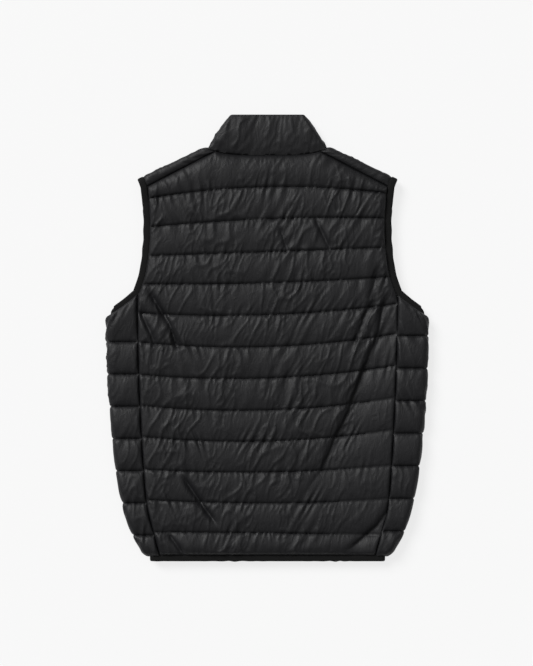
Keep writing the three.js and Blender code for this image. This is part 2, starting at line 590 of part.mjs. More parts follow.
// Runs down the back's edge, round the underarm on the front's edge, up the front's and over the
// shoulder. Its points are those of the edges that it is sewn to. "side" is 1 at +X.
function armholeGeometry(side, quilting) {
  const edge = BACK_LEVELS.map((level) => backPoint(side, level, false))
    .filter((p) => p.y > UNDERARM_ALONG + 1).reverse()
    .map((p) => [-acrossOf(Math.abs(p.x) + GAP / 2, p.y), p.y]);
  const corner = underarmEdge(-GAP / 2);
  const round = rowAcross(underarmEdge(0), 0).filter((across) => across < UNDERARM.at(-1).across + 1);
  edge.push(...round.reverse().map((across) => [across, corner(across)]));
  edge.push(...armPlans(ARM_FRACTION, quilting, -GAP / 2).slice(0, -1).map(({ x, y }) => [acrossOf(x, y), y]));
  const frames = edge.map(([across, along], i) => {
    const [a, b] = [edge[Math.max(0, i - 1)], edge[Math.min(edge.length - 1, i + 1)]];
    return chartFrame(across, along, b[0] - a[0], b[1] - a[1]);
  });
  const { axis } = shoulderAt(1, 0);
  const end = SHOULDER_TIP.clone().sub(NECK_POINT).normalize();
  for (const t of spread(TIP_BAND_STEPS, (f) => f)) {
    const angle = (t - 0.5) * Math.PI;
    const flat = SHOULDER_OUT.clone().multiplyScalar(Math.cos(angle));
    const out = new THREE.Vector3(flat.x, flat.y, Math.sin(angle));
    const at = new THREE.Vector3(axis.x + end.x * GAP, axis.y + end.y * GAP, MID)
      .addScaledVector(out, LAYER_GAP / 2);
    frames.push({ at, across: new THREE.Vector3(end.x, end.y, 0), out });
  }
  return strip(frames, BAND_WIDTH, BAND_THICK, true);
}

function hemGeometry() {
  const half = [];
  const addAt = (across) => {
    const at = wrapSide(across, 0, 0);
    const out = wrapSide(across, 0, 1).sub(at).normalize();
    half.push({ at, across: new THREE.Vector3(0, 1, 0), out });
  };
  const zip = acrossOf(ZIP_SEAM_HALF, 0);
  for (const t of [0, 0.12, 0.3, 0.5, 0.7, 0.88]) addAt(lerp(zip, FOLD_SPAN / 2, t));
  for (const t of spread(8, (f) => f)) addAt(lerp(FOLD_SPAN / 2, -FOLD_SPAN / 2, t));
  for (const t of [0.12, 0.3, 0.5, 0.7, 0.88, 1]) addAt(lerp(-FOLD_SPAN / 2, -acrossOf(0, 0), t));
  const flip = (v) => new THREE.Vector3(-v.x, v.y, v.z);
  const other = half.slice(0, -1).reverse()
    .map(({ at, across, out }) => ({ at: flip(at), across, out: flip(out) }));
  return strip([...half, ...other], HEM_BAND, BAND_THICK, false);
}

// Zip, in the slot between the fronts. The pull tab hangs on the slider's bridge, over the chain.
const TAPE_START = 4;
const TAPE_TOP = COLLAR_FRONT_TOP_ALONG - 2;
const SLIDER = { length: 10, width: 9, plate: 1.3, opening: 3.2 };
const BRIDGE = { length: 6, hole: 3.4, width: 2.2, root: 0.4, room: 2.4, bar: 1.1, pinDepth: 1.3 };
const PULL = { length: 24, width: 6, thick: 1.4, pin: 1.1, window: 3.2, windowLength: 4.4, lip: 1, tip: 3 };
const SLIDER_ALONG = CHAIN_TOP + GAP + SLIDER.length / 2;
const PLATE_FACE = ZIP_HEIGHT - SLIDER.opening / 2 - SLIDER.plate; // the slider's face away from the body
const HINGE_HEIGHT = PLATE_FACE - BRIDGE.root - BRIDGE.pinDepth;

const outline = (points) => new THREE.Shape(points.map(([x, y]) => new THREE.Vector2(x, y)));
const extruded = (shape, depth) => new THREE.ExtrudeGeometry(shape, { depth, bevelEnabled: false });

function solid(geometry) {
  const bare = geometry.clone();
  bare.deleteAttribute("normal");
  bare.deleteAttribute("uv");
  const merged = mergeVertices(bare, 1e-4);
  const mesh = new wasm.Mesh({
    numProp: 3,
    vertProperties: new Float32Array(merged.getAttribute("position").array),
    triVerts: new Uint32Array(merged.getIndex().array),
  });
  return new wasm.Manifold(mesh);
}
function fromSolid(manifold) {
  const { vertProperties, triVerts } = manifold.getMesh();
  const geometry = new THREE.BufferGeometry();
  geometry.setAttribute("position", new THREE.BufferAttribute(vertProperties, 3));
  geometry.setIndex(new THREE.BufferAttribute(triVerts, 1));
  return geometry;
}

// An H section round the chain, joined to the loop that holds the pull tab.
function sliderGeometry() {
  const [half, web] = [SLIDER.width / 2, CHAIN_WIDTH / 2];
  const [inside, face] = [SLIDER.opening / 2, SLIDER.opening / 2 + SLIDER.plate];
  const section = outline([[-half, -face], [half, -face], [half, -inside], [web, -inside], [web, inside],
    [half, inside], [half, face], [-half, face], [-half, inside], [-web, inside], [-web, -inside],
    [-half, -inside]]);
  const body = extruded(section, SLIDER.length).rotateX(Math.PI / 2)
    .translate(0, SLIDER_ALONG + SLIDER.length / 2, ZIP_HEIGHT);
  const [out, hole] = [BRIDGE.length / 2, BRIDGE.hole / 2];
  const [top, roof] = [PLATE_FACE + SLIDER.plate / 2, PLATE_FACE - BRIDGE.root];
  const [floor, bottom] = [roof - BRIDGE.room, roof - BRIDGE.room - BRIDGE.bar];
  const loop = outline([[-out, top], [-out, bottom + 1], [-out + 1, bottom], [out - 1, bottom],
    [out, bottom + 1], [out, top]]);
  loop.holes.push(new THREE.Path([[-hole, roof], [-hole, floor], [hole, floor], [hole, roof]]
    .map(([x, y]) => new THREE.Vector2(x, y))));
  const bridge = extruded(loop, BRIDGE.width).translate(0, 0, -BRIDGE.width / 2)
    .rotateX(Math.PI / 2).rotateZ(Math.PI / 2).translate(0, SLIDER_ALONG, 0);
  return fromSolid(solid(body).add(solid(bridge)));
}

// A flat tab with a window round the bridge and a pin across the window.
function pullGeometry() {
  const half = PULL.width / 2;
  const taper = half - PULL.tip / 2;
  const plate = outline([[-half, PULL.lip], [-half, PULL.tip - PULL.length], [-taper, -PULL.length],
    [taper, -PULL.length], [half, PULL.tip - PULL.length], [half, PULL.lip]]);
  const [side, start] = [PULL.window / 2, PULL.pin / 2];
  plate.holes.push(new THREE.Path([[-side, -start], [-side, -PULL.windowLength], [side, -PULL.windowLength],
    [side, -start]].map(([x, y]) => new THREE.Vector2(x, y))));
  const notch = new THREE.BoxGeometry(PULL.window, PULL.lip * 2, PULL.thick * 2)
    .translate(0, start + PULL.lip, 0);
  const trim = new THREE.BoxGeometry(PULL.window, PULL.pin * 2, PULL.thick);
  const tab = solid(extruded(plate, PULL.thick).translate(0, 0, -PULL.thick / 2)).subtract(solid(notch))
    .subtract(solid(trim.clone().translate(0, 0, (PULL.thick + PULL.pin) / 2)))
    .subtract(solid(trim.clone().translate(0, 0, -(PULL.thick + PULL.pin) / 2)));
  return fromSolid(tab).translate(0, SLIDER_ALONG, HINGE_HEIGHT);
}

function tapeGeometry() {
  const [inner, outer] = [TAPE_INNER_HALF, ZIP_SEAM_HALF - GAP];
  return new THREE.BoxGeometry(outer - inner, TAPE_TOP - TAPE_START, TAPE_THICK)
    .translate((inner + outer) / 2, (TAPE_TOP + TAPE_START) / 2, ZIP_HEIGHT);
}
const chainGeometry = () => new THREE.BoxGeometry(CHAIN_WIDTH, CHAIN_TOP - CHAIN_BOTTOM, CHAIN_THICK)
  .translate(0, (CHAIN_TOP + CHAIN_BOTTOM) / 2, ZIP_HEIGHT);

const frontSolid = (quilting) => wall(frontGeometry(quilting, false), frontGeometry(quilting, true));

const vest = new THREE.Group();
vest.add(
  piece("back", backGeometry(), COLOUR.shell),
  piece("front_right", frontSolid(FRONT_QUILTING.right), COLOUR.shell),
  piece("front_left", mirrored(frontSolid(FRONT_QUILTING.left)), COLOUR.shell),
  piece("collar", collarGeometry(), COLOUR.shell),
  piece("armhole_binding_right", armholeGeometry(1, FRONT_QUILTING.right), COLOUR.binding, 0.8),
  piece("armhole_binding_left", mirrored(armholeGeometry(-1, FRONT_QUILTING.left)), COLOUR.binding, 0.8),
  piece("hem_binding", hemGeometry(), COLOUR.binding, 0.8),
  piece("zip_tape_right", tapeGeometry(), COLOUR.tape, 0.85),
  piece("zip_tape_left", mirrored(tapeGeometry()), COLOUR.tape, 0.85),
  piece("zip_chain", chainGeometry(), COLOUR.tape, 0.45),
  piece("zip_slider", sliderGeometry(), COLOUR.metal, 0.4, 0.6),
  piece("zip_pull", pullGeometry(), COLOUR.metal, 0.4, 0.6),
);
vest.position.y = -LENGTH / 2;

export default vest;
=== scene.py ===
# %% [markdown]
# # A black puffer vest, laid face down
#
# The vest lies on its zip, so what shows is the back: one wide quilted panel, with the two fronts
# wrapping round from below as puffy strips along the sides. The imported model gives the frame, its
# sizes are repeated here in millimetres, and every visible piece is made again as soft cloth.

import bpy
import numpy as np
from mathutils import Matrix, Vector


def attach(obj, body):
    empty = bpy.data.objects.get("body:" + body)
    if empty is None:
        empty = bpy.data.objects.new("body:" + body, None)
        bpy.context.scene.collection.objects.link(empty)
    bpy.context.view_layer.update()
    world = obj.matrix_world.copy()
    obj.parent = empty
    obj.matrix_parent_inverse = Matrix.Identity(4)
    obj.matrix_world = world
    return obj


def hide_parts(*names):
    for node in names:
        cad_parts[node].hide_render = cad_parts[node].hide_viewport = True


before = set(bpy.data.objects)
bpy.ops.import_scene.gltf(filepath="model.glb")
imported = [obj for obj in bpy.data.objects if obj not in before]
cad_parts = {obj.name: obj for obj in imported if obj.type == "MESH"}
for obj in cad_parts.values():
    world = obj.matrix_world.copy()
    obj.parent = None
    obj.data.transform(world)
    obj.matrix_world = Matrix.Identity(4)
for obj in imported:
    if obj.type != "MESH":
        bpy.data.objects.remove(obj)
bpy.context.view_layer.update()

print("packed nodes:", ", ".join(sorted(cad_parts)))

# %% [markdown]
# ## Sizes
#
# A garment's maker works from a table of flat measurements. Heights are measured up from the hem
# edge and halves out from the centre line, as they lie, in millimetres.

# %% Sizes of the vest
LENGTH = 750.0  # hem edge to collar top
MID = 13.0  # height of the plane where the fronts and the back meet
LAYER_GAP = 0.5  # between the fronts and the back, half of it on each side of that plane
EDGE_THICK = 5.0  # a padded layer at its bound or seamed edge
GAP = 0.4  # between two pieces sewn together
HEM_BAND = 8.0  # width of the hem's binding beyond the panel
HEM_START = HEM_BAND + GAP
ARM_BAND = 8.7  # width of an armhole's binding beyond the panel
BAND_THICK = 5.0  # the edge of a binding, as it covers the panel's
BAND_LAP = 3.2  # a binding laps this far over the panel's edge
ZIP_HALF = 14.3  # the fronts end here, either side of centre
ZIP_HEIGHT = 10.0  # middle of the tapes and teeth above the floor
FOLD_SPAN = 24.0  # cloth taken up by the turn at the side fold
FOLD_LOFT = 12.75  # padding at the side fold, down to the floor
UNDERARM_ALONG = 450.0  # where the side seam ends and the back armhole starts
ARM_CORNER = 438.0  # where the underarm curve meets the front armhole
NECK_BACK, NECK_FRONT = 682.0, 622.0  # neck seam at centre back and centre front
COLLAR_FRONT_TOP = 687.0

SIDE_FOLD = [(0, 197), (8, 203), (26, 218), (53, 232), (93, 244.5), (147, 255), (227, 263.5),
             (321, 269.5), (375, 271), (460, 270)]
SIDE_SEAM = [(8, 180), (45, 190), (94, 202), (161, 208), (228, 212), (308, 215.5), (390, 217.5),
             (UNDERARM_ALONG, 218)]
BACK_ARMHOLE = [(UNDERARM_ALONG, 218), (482, 207.5), (529, 201), (580, 200), (628, 204.5)]
FRONT_ARMHOLE = [(ARM_CORNER, 205), (470, 197), (510, 192.5), (560, 192.5), (600, 197),
                 (637.7, 207.7)]
# Cloth distance from the side fold (over 0 on the under layer) and height of the underarm edge.
UNDERARM = [(-51.4, UNDERARM_ALONG), (-33, 434), (-12, 418.5), (0, 410.5), (12, 404.5), (28, 401.5),
            (44, 408), (56, 421), (64, ARM_CORNER)]
# Heights of the back's quilting lines at the left, the centre and the right, one by one: hand
# guided seams are never quite level or quite evenly spaced.
BACK_QUILTING = [(49.5, 48, 44.5), (103, 98, 104), (153.5, 150, 159), (207, 202, 217),
                 (259, 254, 270), (311, 307.5, 324), (365, 360, 377), (415, 413.5, 428),
                 (465, 467, 476), (513, 519, 526), (562, 574, 576), (611, 628, 619)]
QUILT_HALF_SPAN = 185.0  # how far out the left and right heights are
FRONT_QUILTING = {"left": (44.0, 54.0), "right": (51.0, 54.6)}  # first line and pitch

# Plan of the neck and shoulders at the right, as (x, height).
NECK_POINT = np.array([101.0, 697.0])
SHOULDER_TIP = np.array([211.4, 645.6])
SEAM_AT_ARM = np.array([204.5, 628.0])
COLLAR_TIP = np.array([62.0, LENGTH])
SHOULDER_SEAM_HALF = 88.0  # the shoulder seam starts this far out, on the neck seam
NECK_LOFT, SHOULDER_LOFT = 7.0, 8.5
quilting_pitch = (BACK_QUILTING[-1][1] - BACK_QUILTING[0][1]) / (len(BACK_QUILTING) - 1)
print(f"{len(BACK_QUILTING)} quilting lines, {quilting_pitch:.1f} mm apart at centre back")

# %% [markdown]
# ## Small tools
#
# Each formula takes whole arrays of points at once. A table's curve is a cubic through its rows,
# as a pattern maker's French curve is, and a channel's section is a sine with its sides pulled up
# steep, as stuffing pulls cloth between two seams.


# %% Curves and sections
def curve(table, at):
    """A smooth line through (place, value) rows: at each row its slope is that of the chord
    between the neighbours."""
    place, value = np.array(table, float).T
    rows = np.arange(len(place))
    low, high = np.maximum(rows - 1, 0), np.minimum(rows + 1, len(place) - 1)
    slope = (value[high] - value[low]) / (place[high] - place[low])
    i = np.clip(np.searchsorted(place, at) - 1, 0, len(place) - 2)
    span, climb = place[i + 1] - place[i], value[i + 1] - value[i]
    t = np.clip((at - place[i]) / span, 0, 1)
    straight = climb / span
    bend = (slope[i] - straight) * (1 - t) - (slope[i + 1] - straight) * t
    return value[i] + climb * t + t * (1 - t) * span * bend


def lerp(a, b, t):
    """The value a share t of the way from a to b."""
    return a + (b - a) * t


def smooth(t):
    """0 to 1 with level ends: three t squared less two t cubed."""
    t = np.clip(t, 0, 1)
    return t * t * (3 - 2 * t)


def rise(distance, reach):
    """A quarter circle: 0 at an edge, 1 from reach inwards."""
    return np.sqrt(1 - (1 - np.clip(distance / reach, 0, 1)) ** 2)


def puff(s):
    """A channel's section: the sine of half a turn, to the power 0.6."""
    return np.sin(np.pi * np.clip(s, 0, 1)) ** 0.6


def unit(v):
    """Vectors scaled to length 1."""
    return v / np.linalg.norm(v, axis=-1, keepdims=True)


def left_of(v):
    """A plan direction turned a quarter turn to the left."""
    return np.stack([-v[..., 1], v[..., 0]], -1)


def length_along(line):
    """The length from the first point of a line to each of its points."""
    return np.concatenate([[0], np.cumsum(np.linalg.norm(np.diff(line, axis=0), axis=1))])


def points_at(line, length, at):
    """The points of a line at those lengths along it."""
    return np.stack([np.interp(at, length, line[:, i]) for i in range(line.shape[1])], 1)


def to_frame(points):
    """Millimetres above the hem to the frame's metres, whose middle is half way up the vest."""
    return (points - np.array([0, LENGTH / 2, 0])) / 1000


SHOULDER_OUT = unit(left_of(SHOULDER_TIP - NECK_POINT))
COLLAR_OUT = unit(left_of(NECK_POINT - COLLAR_TIP))
CORNER_OUT = unit(SHOULDER_OUT + COLLAR_OUT)
CORNER_UP = left_of(CORNER_OUT)
NECK_CORNER = NECK_POINT - CORNER_OUT * (LAYER_GAP / 2 + NECK_LOFT)


def neck_back(x):
    """The back's neck seam: a fourth power curve up to the neck corner."""
    return NECK_BACK + (NECK_CORNER[1] - NECK_BACK) * (x / NECK_CORNER[0]) ** 4


SEAM_AT_NECK = np.array([SHOULDER_SEAM_HALF, neck_back(SHOULDER_SEAM_HALF)])


def back_top(x):
    """Height of the back's top edge: the neck seam, then the straight shoulder seam."""
    side = np.abs(x)
    run = (side - SEAM_AT_NECK[0]) / (SEAM_AT_ARM[0] - SEAM_AT_NECK[0])
    return np.where(run < 0, neck_back(side), lerp(SEAM_AT_NECK[1], SEAM_AT_ARM[1], run))


def back_half(along):
    """Half the back's width at a height: the side seam, then the armhole."""
    return np.where(along < UNDERARM_ALONG, curve(SIDE_SEAM, along), curve(BACK_ARMHOLE, along))


def fold_axis(along):
    """Distance from the centre to the axis that a front turns round at the side."""
    loft = lerp(EDGE_THICK, FOLD_LOFT, rise(along - HEM_START, 24.0))
    return curve(SIDE_FOLD, along) - LAYER_GAP / 2 - loft


def across_of(x, along):
    """Cloth distance from the side fold of a point of the under layer."""
    return fold_axis(along) - x + FOLD_SPAN / 2


def wrap_side(across, along):
    """Lays cloth round the side fold. Returns points of its inner face and the way out of it:
    level with the floor out to the axis, then half a turn over it, and back on the upper side."""
    axis = fold_axis(along)
    flat = np.maximum(0, np.abs(across) - FOLD_SPAN / 2)
    angle = np.clip(-across / FOLD_SPAN * np.pi, -np.pi / 2, np.pi / 2)
    out = np.stack([np.cos(angle), 0 * angle, np.sin(angle)], -1)
    base = np.stack([axis - flat, along + 0 * angle, MID + 0 * angle], -1)
    return base + out * LAYER_GAP / 2, out


# %% [markdown]
# ## Gathers and folds
#
# Down-proof nylon is thin and slippery. A machine seam draws it up, so little pleats start at every
# quilting line, lean the way the cloth was fed, and die out a few centimetres into the puff. They
# come in clusters with smooth stretches between. Over the puffs it keeps sharp creases that no seam
# made, and a few long folds run right across the panel where the vest was folded in its bag.


# %% Gathers along a seam
def gathers(x, away, seed, pitch, slant):
    """Waves along x that lean by slant: a cosine whose spacing and height change from one wave to
    the next, drawn from the seed."""
    draw = np.random.default_rng(seed)
    count = 400
    marks = np.cumsum(pitch * draw.uniform(0.5, 1.6, count)) - 0.35 * count * pitch
    height = draw.uniform(0.15, 1.0, count) * (0.45 + 0.55 * np.sin(np.arange(count) * 0.9 + seed))
    at = x - slant * away
    wave = np.arange(float(count))
    return np.interp(at, marks, height) * np.cos(2 * np.pi * np.interp(at, marks, wave))


def lean(x):
    """How far the pleats lean for each millimetre up: outwards at the left side, to the right
    elsewhere."""
    return -0.35 + 0.8 * smooth((x + 130) / 90)


GATHER_PITCH, WAVE_PITCH, WAVE_HEIGHT = 19.0, 34.0, 0.8  # gathers, and the wider waves over a puff


def seam_gathers(x, row_height, sewn, seed, height=2.3, reach=18.0):
    """Gathers at each sewn row, fading as the distance from it to the power 1.5, and wider waves
    that run over each puff. How far both lean changes from row to row."""
    total = np.zeros_like(x)
    for k, row in enumerate(sewn):
        away = row_height - row_height[row][None]
        fade = np.exp(-(np.abs(away) / reach) ** 1.5)
        slant = lean(x) * (1.3 if k % 3 else 0.5)
        total += height * fade * gathers(x, away, seed + k, GATHER_PITCH, slant)
        after = row_height[sewn[min(k + 1, len(sewn) - 1)]][None]
        over = smooth(away / 12) * smooth((after - row_height) / 12)
        slant = lean(x) * (0.4 + 0.35 * (k % 4))
        total += WAVE_HEIGHT * over * gathers(x, away, seed + 50 + k, WAVE_PITCH, slant)
    return total


def ridges(x, away, seed, pitch, slant):
    """Sharp little pleats: one less the sine's size, to the power 1.2, so each is a narrow ridge.
    Spacing, height and clusters are drawn from the seed."""
    draw = np.random.default_rng(seed)
    count = 500
    marks = np.cumsum(pitch * draw.uniform(0.6, 1.5, count)) - 0.4 * count * pitch
    every_third = np.arange(0, count, 3)
    cluster = np.interp(np.arange(count), every_third, draw.normal(0, 0.8, len(every_third)))
    height = draw.uniform(0.2, 1.0, count) * np.clip(0.1 + cluster, 0, 1)
    at = np.interp(x - slant * away, marks, np.arange(float(count)))
    near = np.round(at).astype(int)
    return height[near] * (1 - np.abs(np.sin(np.pi * at))) ** 1.2


# Four sets of pleats: above the seam or below it, how far they reach, their pitch, and what is
# added to the seed.
PLEATS = [(1, 28.0, 13.0, 0), (-1, 17.0, 12.0, 300), (1, 11.0, 8.0, 600), (-1, 9.0, 8.0, 900)]


def seam_ridges(x, row_height, sewn, seed, height=1.8):
    """Pleats that start at each sewn row, above it and below it, longer and shorter in turn, and
    fade as a bell curve. The short ones lean either way."""
    total = np.zeros_like(x)
    for k, row in enumerate(sewn):
        away = row_height - row_height[row][None]
        for side, reach, pitch, more in PLEATS:
            draw = np.random.default_rng(seed + k + more)
            wander = np.interp(x, np.linspace(-400, 400, 60), draw.uniform(0.5, 1.4, 60))
            fade = np.exp(-(np.abs(away) / (reach * wander)) ** 2) * (away * side >= 0)
            slant = lean(x) * draw.uniform(0.4, 1.7) * (1 if pitch > 10 else draw.uniform(-1, 1.5))
            total += fade * ridges(x, away, seed + k + more, pitch, slant)
    return height * total


CREASE_LEAN, CREASE_SPREAD = -0.28, 0.42  # angle of the creases' waves in radians
CREASE_WAVES, RIDGE_WIDTH = 12, 2.2


def crumple(x, y, seed, size):
    """Sharp irregular creases that run mostly across the seams: plane waves of about that size are
    added up, and the cloth comes to a ridge wherever they cancel out. Waves four times as wide
    leave some of it smooth."""
    draw = np.random.default_rng(seed)
    fields = []
    for wave in (size, 4 * size):
        angle = draw.normal(CREASE_LEAN, CREASE_SPREAD, CREASE_WAVES)
        start = draw.uniform(0, 2 * np.pi, CREASE_WAVES)
        k = 2 * np.pi / (wave * draw.uniform(0.7, 1.6, CREASE_WAVES))
        fields.append(sum(np.sin(k[i] * (x * np.cos(angle[i]) + y * np.sin(angle[i])) + start[i])
                          for i in range(CREASE_WAVES)))
    ridge = np.clip(1 - np.abs(fields[0]) / RIDGE_WIDTH, 0, 1) ** 1.5
    return ridge * smooth(0.35 + fields[1] / 3)


# The long folds of the back: depth, widths of the slopes to the right (+X) and to the left, and
# the points (x, height) that each runs through from top to bottom. The first one is the longest:
# its left slope is steep, and on its right the cloth comes back up over 40 mm.
FOLDS = [
    (8.0, 40.0, 4.5, [(202, 489), (194, 430), (187, 388), (160, 318), (135, 249), (110, 200),
                      (93, 158), (50, 98)]),
    (8.0, 4.6, 4.4, [(-200, 458), (-188, 436), (-165, 400), (-154, 368), (-150, 350)]),
    (6.5, 4.4, 4.2, [(-216, 425), (-205, 402), (-194, 380), (-188, 358)]),
    (8.5, 4.8, 4.4, [(-147, 150), (-113, 100), (-81, 57)]),
    (5.5, 4.4, 4.0, [(-168, 50), (-153, 29), (-138, 8)]),
    (5.0, 4.2, 3.8, [(78, 580), (92, 550), (109, 515)]),
    (4.0, 4.2, 3.8, [(21, 562), (27, 540), (34, 518)]),
    (4.5, 14.0, 4.2, [(190, 505), (176, 455), (160, 405), (138, 350)]),
    (7.0, 16.0, 4.5, [(212, 108), (205, 90), (184, 61), (151, 32), (122, 12)]),
]


def fold_depth(x, along):
    """How far the long folds press the cloth in: a sharp valley along each path, as steep on each
    side as its table says, that fades at both ends. Away is the distance to the nearest of the
    path's straight parts, over 0 towards +X, and where is the share of the path run so far."""
    total = np.zeros_like(x)
    for depth, right_width, left_width, path in FOLDS:
        path = np.array(path, float)
        away, where = np.full(x.shape, np.inf), np.zeros_like(x)
        for i, (a, b) in enumerate(zip(path[:-1], path[1:])):
            run = b - a
            dx, dy = x - a[0], along - a[1]
            t = np.clip((dx * run[0] + dy * run[1]) / (run @ run), 0, 1)
            d = np.hypot(dx - t * run[0], dy - t * run[1]) * np.sign(run[0] * dy - run[1] * dx)
            nearer = np.abs(d) < np.abs(away)
            where = np.where(nearer, (i + t) / (len(path) - 1), where)
            away = np.where(nearer, d, away)
        width = np.where(away > 0, right_width, left_width)
        valley = depth * np.exp(-(np.abs(away) / width) ** 1.2)
        total += valley * smooth(5 * where) * smooth(4 * (1 - where))
    return total


def groove(row_height, sewn, depth=1.7, width=1.7):
    """The narrow valley that the stitching pulls in along each sewn row: a bell curve."""
    away = np.min([np.abs(row_height - row_height[row][None]) for row in sewn], axis=0)
    return depth * np.exp(-(away / width) ** 2)


print("long folds:", ", ".join(f"{length_along(np.array(path))[-1]:.0f}" for *_, path in FOLDS), "mm")


# %% [markdown]
# ## Sewing and filling a panel
#
# A maker cuts the shell wider and longer than the finished panel, sews it down along the quilting
# lines and fills the channels. The same is done here: the open grid is pinned at its sewn rows and
# edges, its rest shape is the larger flat cut, and Blender's cloth solver inflates it. The spare
# cloth has nowhere to go but into puckers. The result is then closed with a rim and a plain lining
# side, which hardly shows and so has fewer points.


# %% Cloth solver and closed panels
def cells(rows, columns, present):
    """Corner numbers of the grid's squares, as seen from outside."""
    index = np.arange(rows * columns).reshape(rows, columns)
    square = np.stack([index[:-1, :-1], index[:-1, 1:], index[1:, 1:], index[1:, :-1]], -1)
    return square[present]


def border_edges(faces):
    """The directed edges that only one face has."""
    a = faces.ravel()
    b = np.roll(faces, -1, axis=1).ravel()
    size = faces.max() + 1
    lone = ~np.isin(a * size + b, b * size + a)
    return a[lone], b[lone]


def new_mesh(name, points, faces, material, cloth=None, smooth_angle=70.0):
    """A mesh object at the origin from metres and lists of corners, smooth but for its sharp
    edges. cloth gives each point's place on the flat cut, kept as the UV map cloth, in metres."""
    mesh = bpy.data.meshes.new(name)
    mesh.from_pydata(points.tolist(), [], faces)
    if cloth is not None:
        layer = mesh.uv_layers.new(name="cloth")
        corner = np.empty(len(mesh.loops), np.int32)
        mesh.loops.foreach_get("vertex_index", corner)
        layer.data.foreach_set("uv", cloth[corner].astype(np.float32).ravel())
    mesh.materials.append(material)
    mesh.shade_smooth()
    mesh.set_sharp_from_angle(angle=np.radians(smooth_angle))
    mesh.update()
    piece = bpy.data.objects.new(name, mesh)
    bpy.context.scene.collection.objects.link(piece)
    return piece


SIM_FRAMES = 16


def inflate(points, pattern, pinned, present, pressure):
    """Fills an open grid: pinned points stay, the rest settles between the pull of the flat
    pattern and the pressure. All in metres. Returns the settled points."""
    rows, columns = pinned.shape
    faces = cells(rows, columns, present)
    used = np.unique(faces)
    renumber = np.zeros(rows * columns, int)
    renumber[used] = np.arange(len(used))
    mesh = bpy.data.meshes.new("filling")
    mesh.from_pydata(points.reshape(-1, 3)[used].tolist(), [], renumber[faces].tolist())
    cloth = bpy.data.objects.new("filling", mesh)
    bpy.context.scene.collection.objects.link(cloth)
    cloth.shape_key_add(name="sewn")
    flat = cloth.shape_key_add(name="flat")
    cut = np.concatenate([pattern.reshape(-1, 2)[used], np.zeros((len(used), 1))], 1)
    flat.data.foreach_set("co", cut.ravel())
    flat.value = 0
    held = cloth.vertex_groups.new(name="held")
    held.add(np.nonzero(pinned.ravel()[used])[0].tolist(), 1.0, "REPLACE")
    solver = cloth.modifiers.new("Cloth", "CLOTH")
    nylon = solver.settings  # thin and light: it hardly stretches and bends very easily
    nylon.quality, nylon.mass, nylon.air_damping = 5, 0.02, 2
    nylon.tension_stiffness = nylon.compression_stiffness = 15
    nylon.shear_stiffness, nylon.bending_stiffness = 5, 0.05
    nylon.tension_damping = nylon.compression_damping = nylon.shear_damping = 5
    nylon.bending_damping = 0.5
    nylon.vertex_group_mass, nylon.pin_stiffness = "held", 1
    nylon.use_pressure, nylon.uniform_pressure_force = True, pressure
    nylon.rest_shape_key = cloth.data.shape_keys.key_blocks["flat"]
    nylon.effector_weights.gravity = 0
    solver.collision_settings.use_collision = False
    solver.collision_settings.use_self_collision = False
    solver.point_cache.frame_start, solver.point_cache.frame_end = 1, SIM_FRAMES
    scene = bpy.context.scene
    for number in range(1, SIM_FRAMES + 1):
        scene.frame_set(number)
    settled = cloth.evaluated_get(bpy.context.evaluated_depsgraph_get()).data
    moved = np.empty(len(used) * 3, np.float32)
    settled.vertices.foreach_get("co", moved)
    result = points.reshape(-1, 3).copy()
    result[used] = moved.reshape(-1, 3)
    bpy.data.objects.remove(cloth)
    bpy.data.meshes.remove(mesh)
    scene.frame_set(1)
    return result.reshape(points.shape)


LINING_STEP = 4  # the lining side has every fourth row and column


def close_panel(name, outer, inner, cloth, present, material):
    """Joins the filled outer grid to a coarser inner one. The rim's faces each take the outer
    points between two neighbouring inner ones. Everything in metres."""
    rows, columns = outer.shape[:2]
    step = LINING_STEP
    faces = cells(rows, columns, present)
    few = inner[::step, ::step]
    few_columns = few.shape[1]
    few_faces = cells(*few.shape[:2], present[::step, ::step])
    a, b = border_edges(few_faces)
    (row_a, col_a), (row_b, col_b) = divmod(a, few_columns), divmod(b, few_columns)
    share = np.arange(step + 1)
    row = row_a[:, None] * step + (row_b - row_a)[:, None] * share
    col = col_a[:, None] * step + (col_b - col_a)[:, None] * share
    offset = rows * columns
    rim = np.concatenate([(row * columns + col)[:, ::-1], a[:, None] + offset, b[:, None] + offset], 1)
    lining = few_faces[:, ::-1] + offset
    points = np.concatenate([outer.reshape(-1, 3), few.reshape(-1, 3)])
    flat = np.concatenate([cloth.reshape(-1, 2), cloth[::step, ::step].reshape(-1, 2)])
    used = np.unique(np.concatenate([faces.ravel(), rim.ravel(), lining.ravel()]))
    renumber = np.zeros(len(points), int)
    renumber[used] = np.arange(len(used))
    corners = [renumber[part].tolist() for part in (faces, rim, lining)]
    piece = new_mesh(name, points[used], sum(corners, []), material, flat[used])
    print(f"{name}: {len(faces)} outer faces, {len(used)} points")
    return piece


def levels(counts):
    """Rows of a panel: whole numbers are its main lines, with the given number of rows between."""
    return np.concatenate([k + np.arange(n) / n for k, n in enumerate(counts)] + [[len(counts)]])


def between(rows, sewn):
    """Each row's place between the sewn rows either side of it, from 0 to 1."""
    at = np.arange(rows)
    k = np.clip(np.searchsorted(sewn, at, side="right") - 1, 0, len(sewn) - 2)
    return np.clip((at - sewn[k]) / (sewn[k + 1] - sewn[k]), 0, 1)[:, None]


def border_mask(present):
    """The grid points on the edge of the squares that are there: some of the four squares round
    them are missing, but not all."""
    padded = np.pad(present, 1).astype(int)
    around = padded[:-1, :-1] + padded[:-1, 1:] + padded[1:, :-1] + padded[1:, 1:]
    return (around > 0) & (around < 4)


POINTS_AT_ONCE = 4000


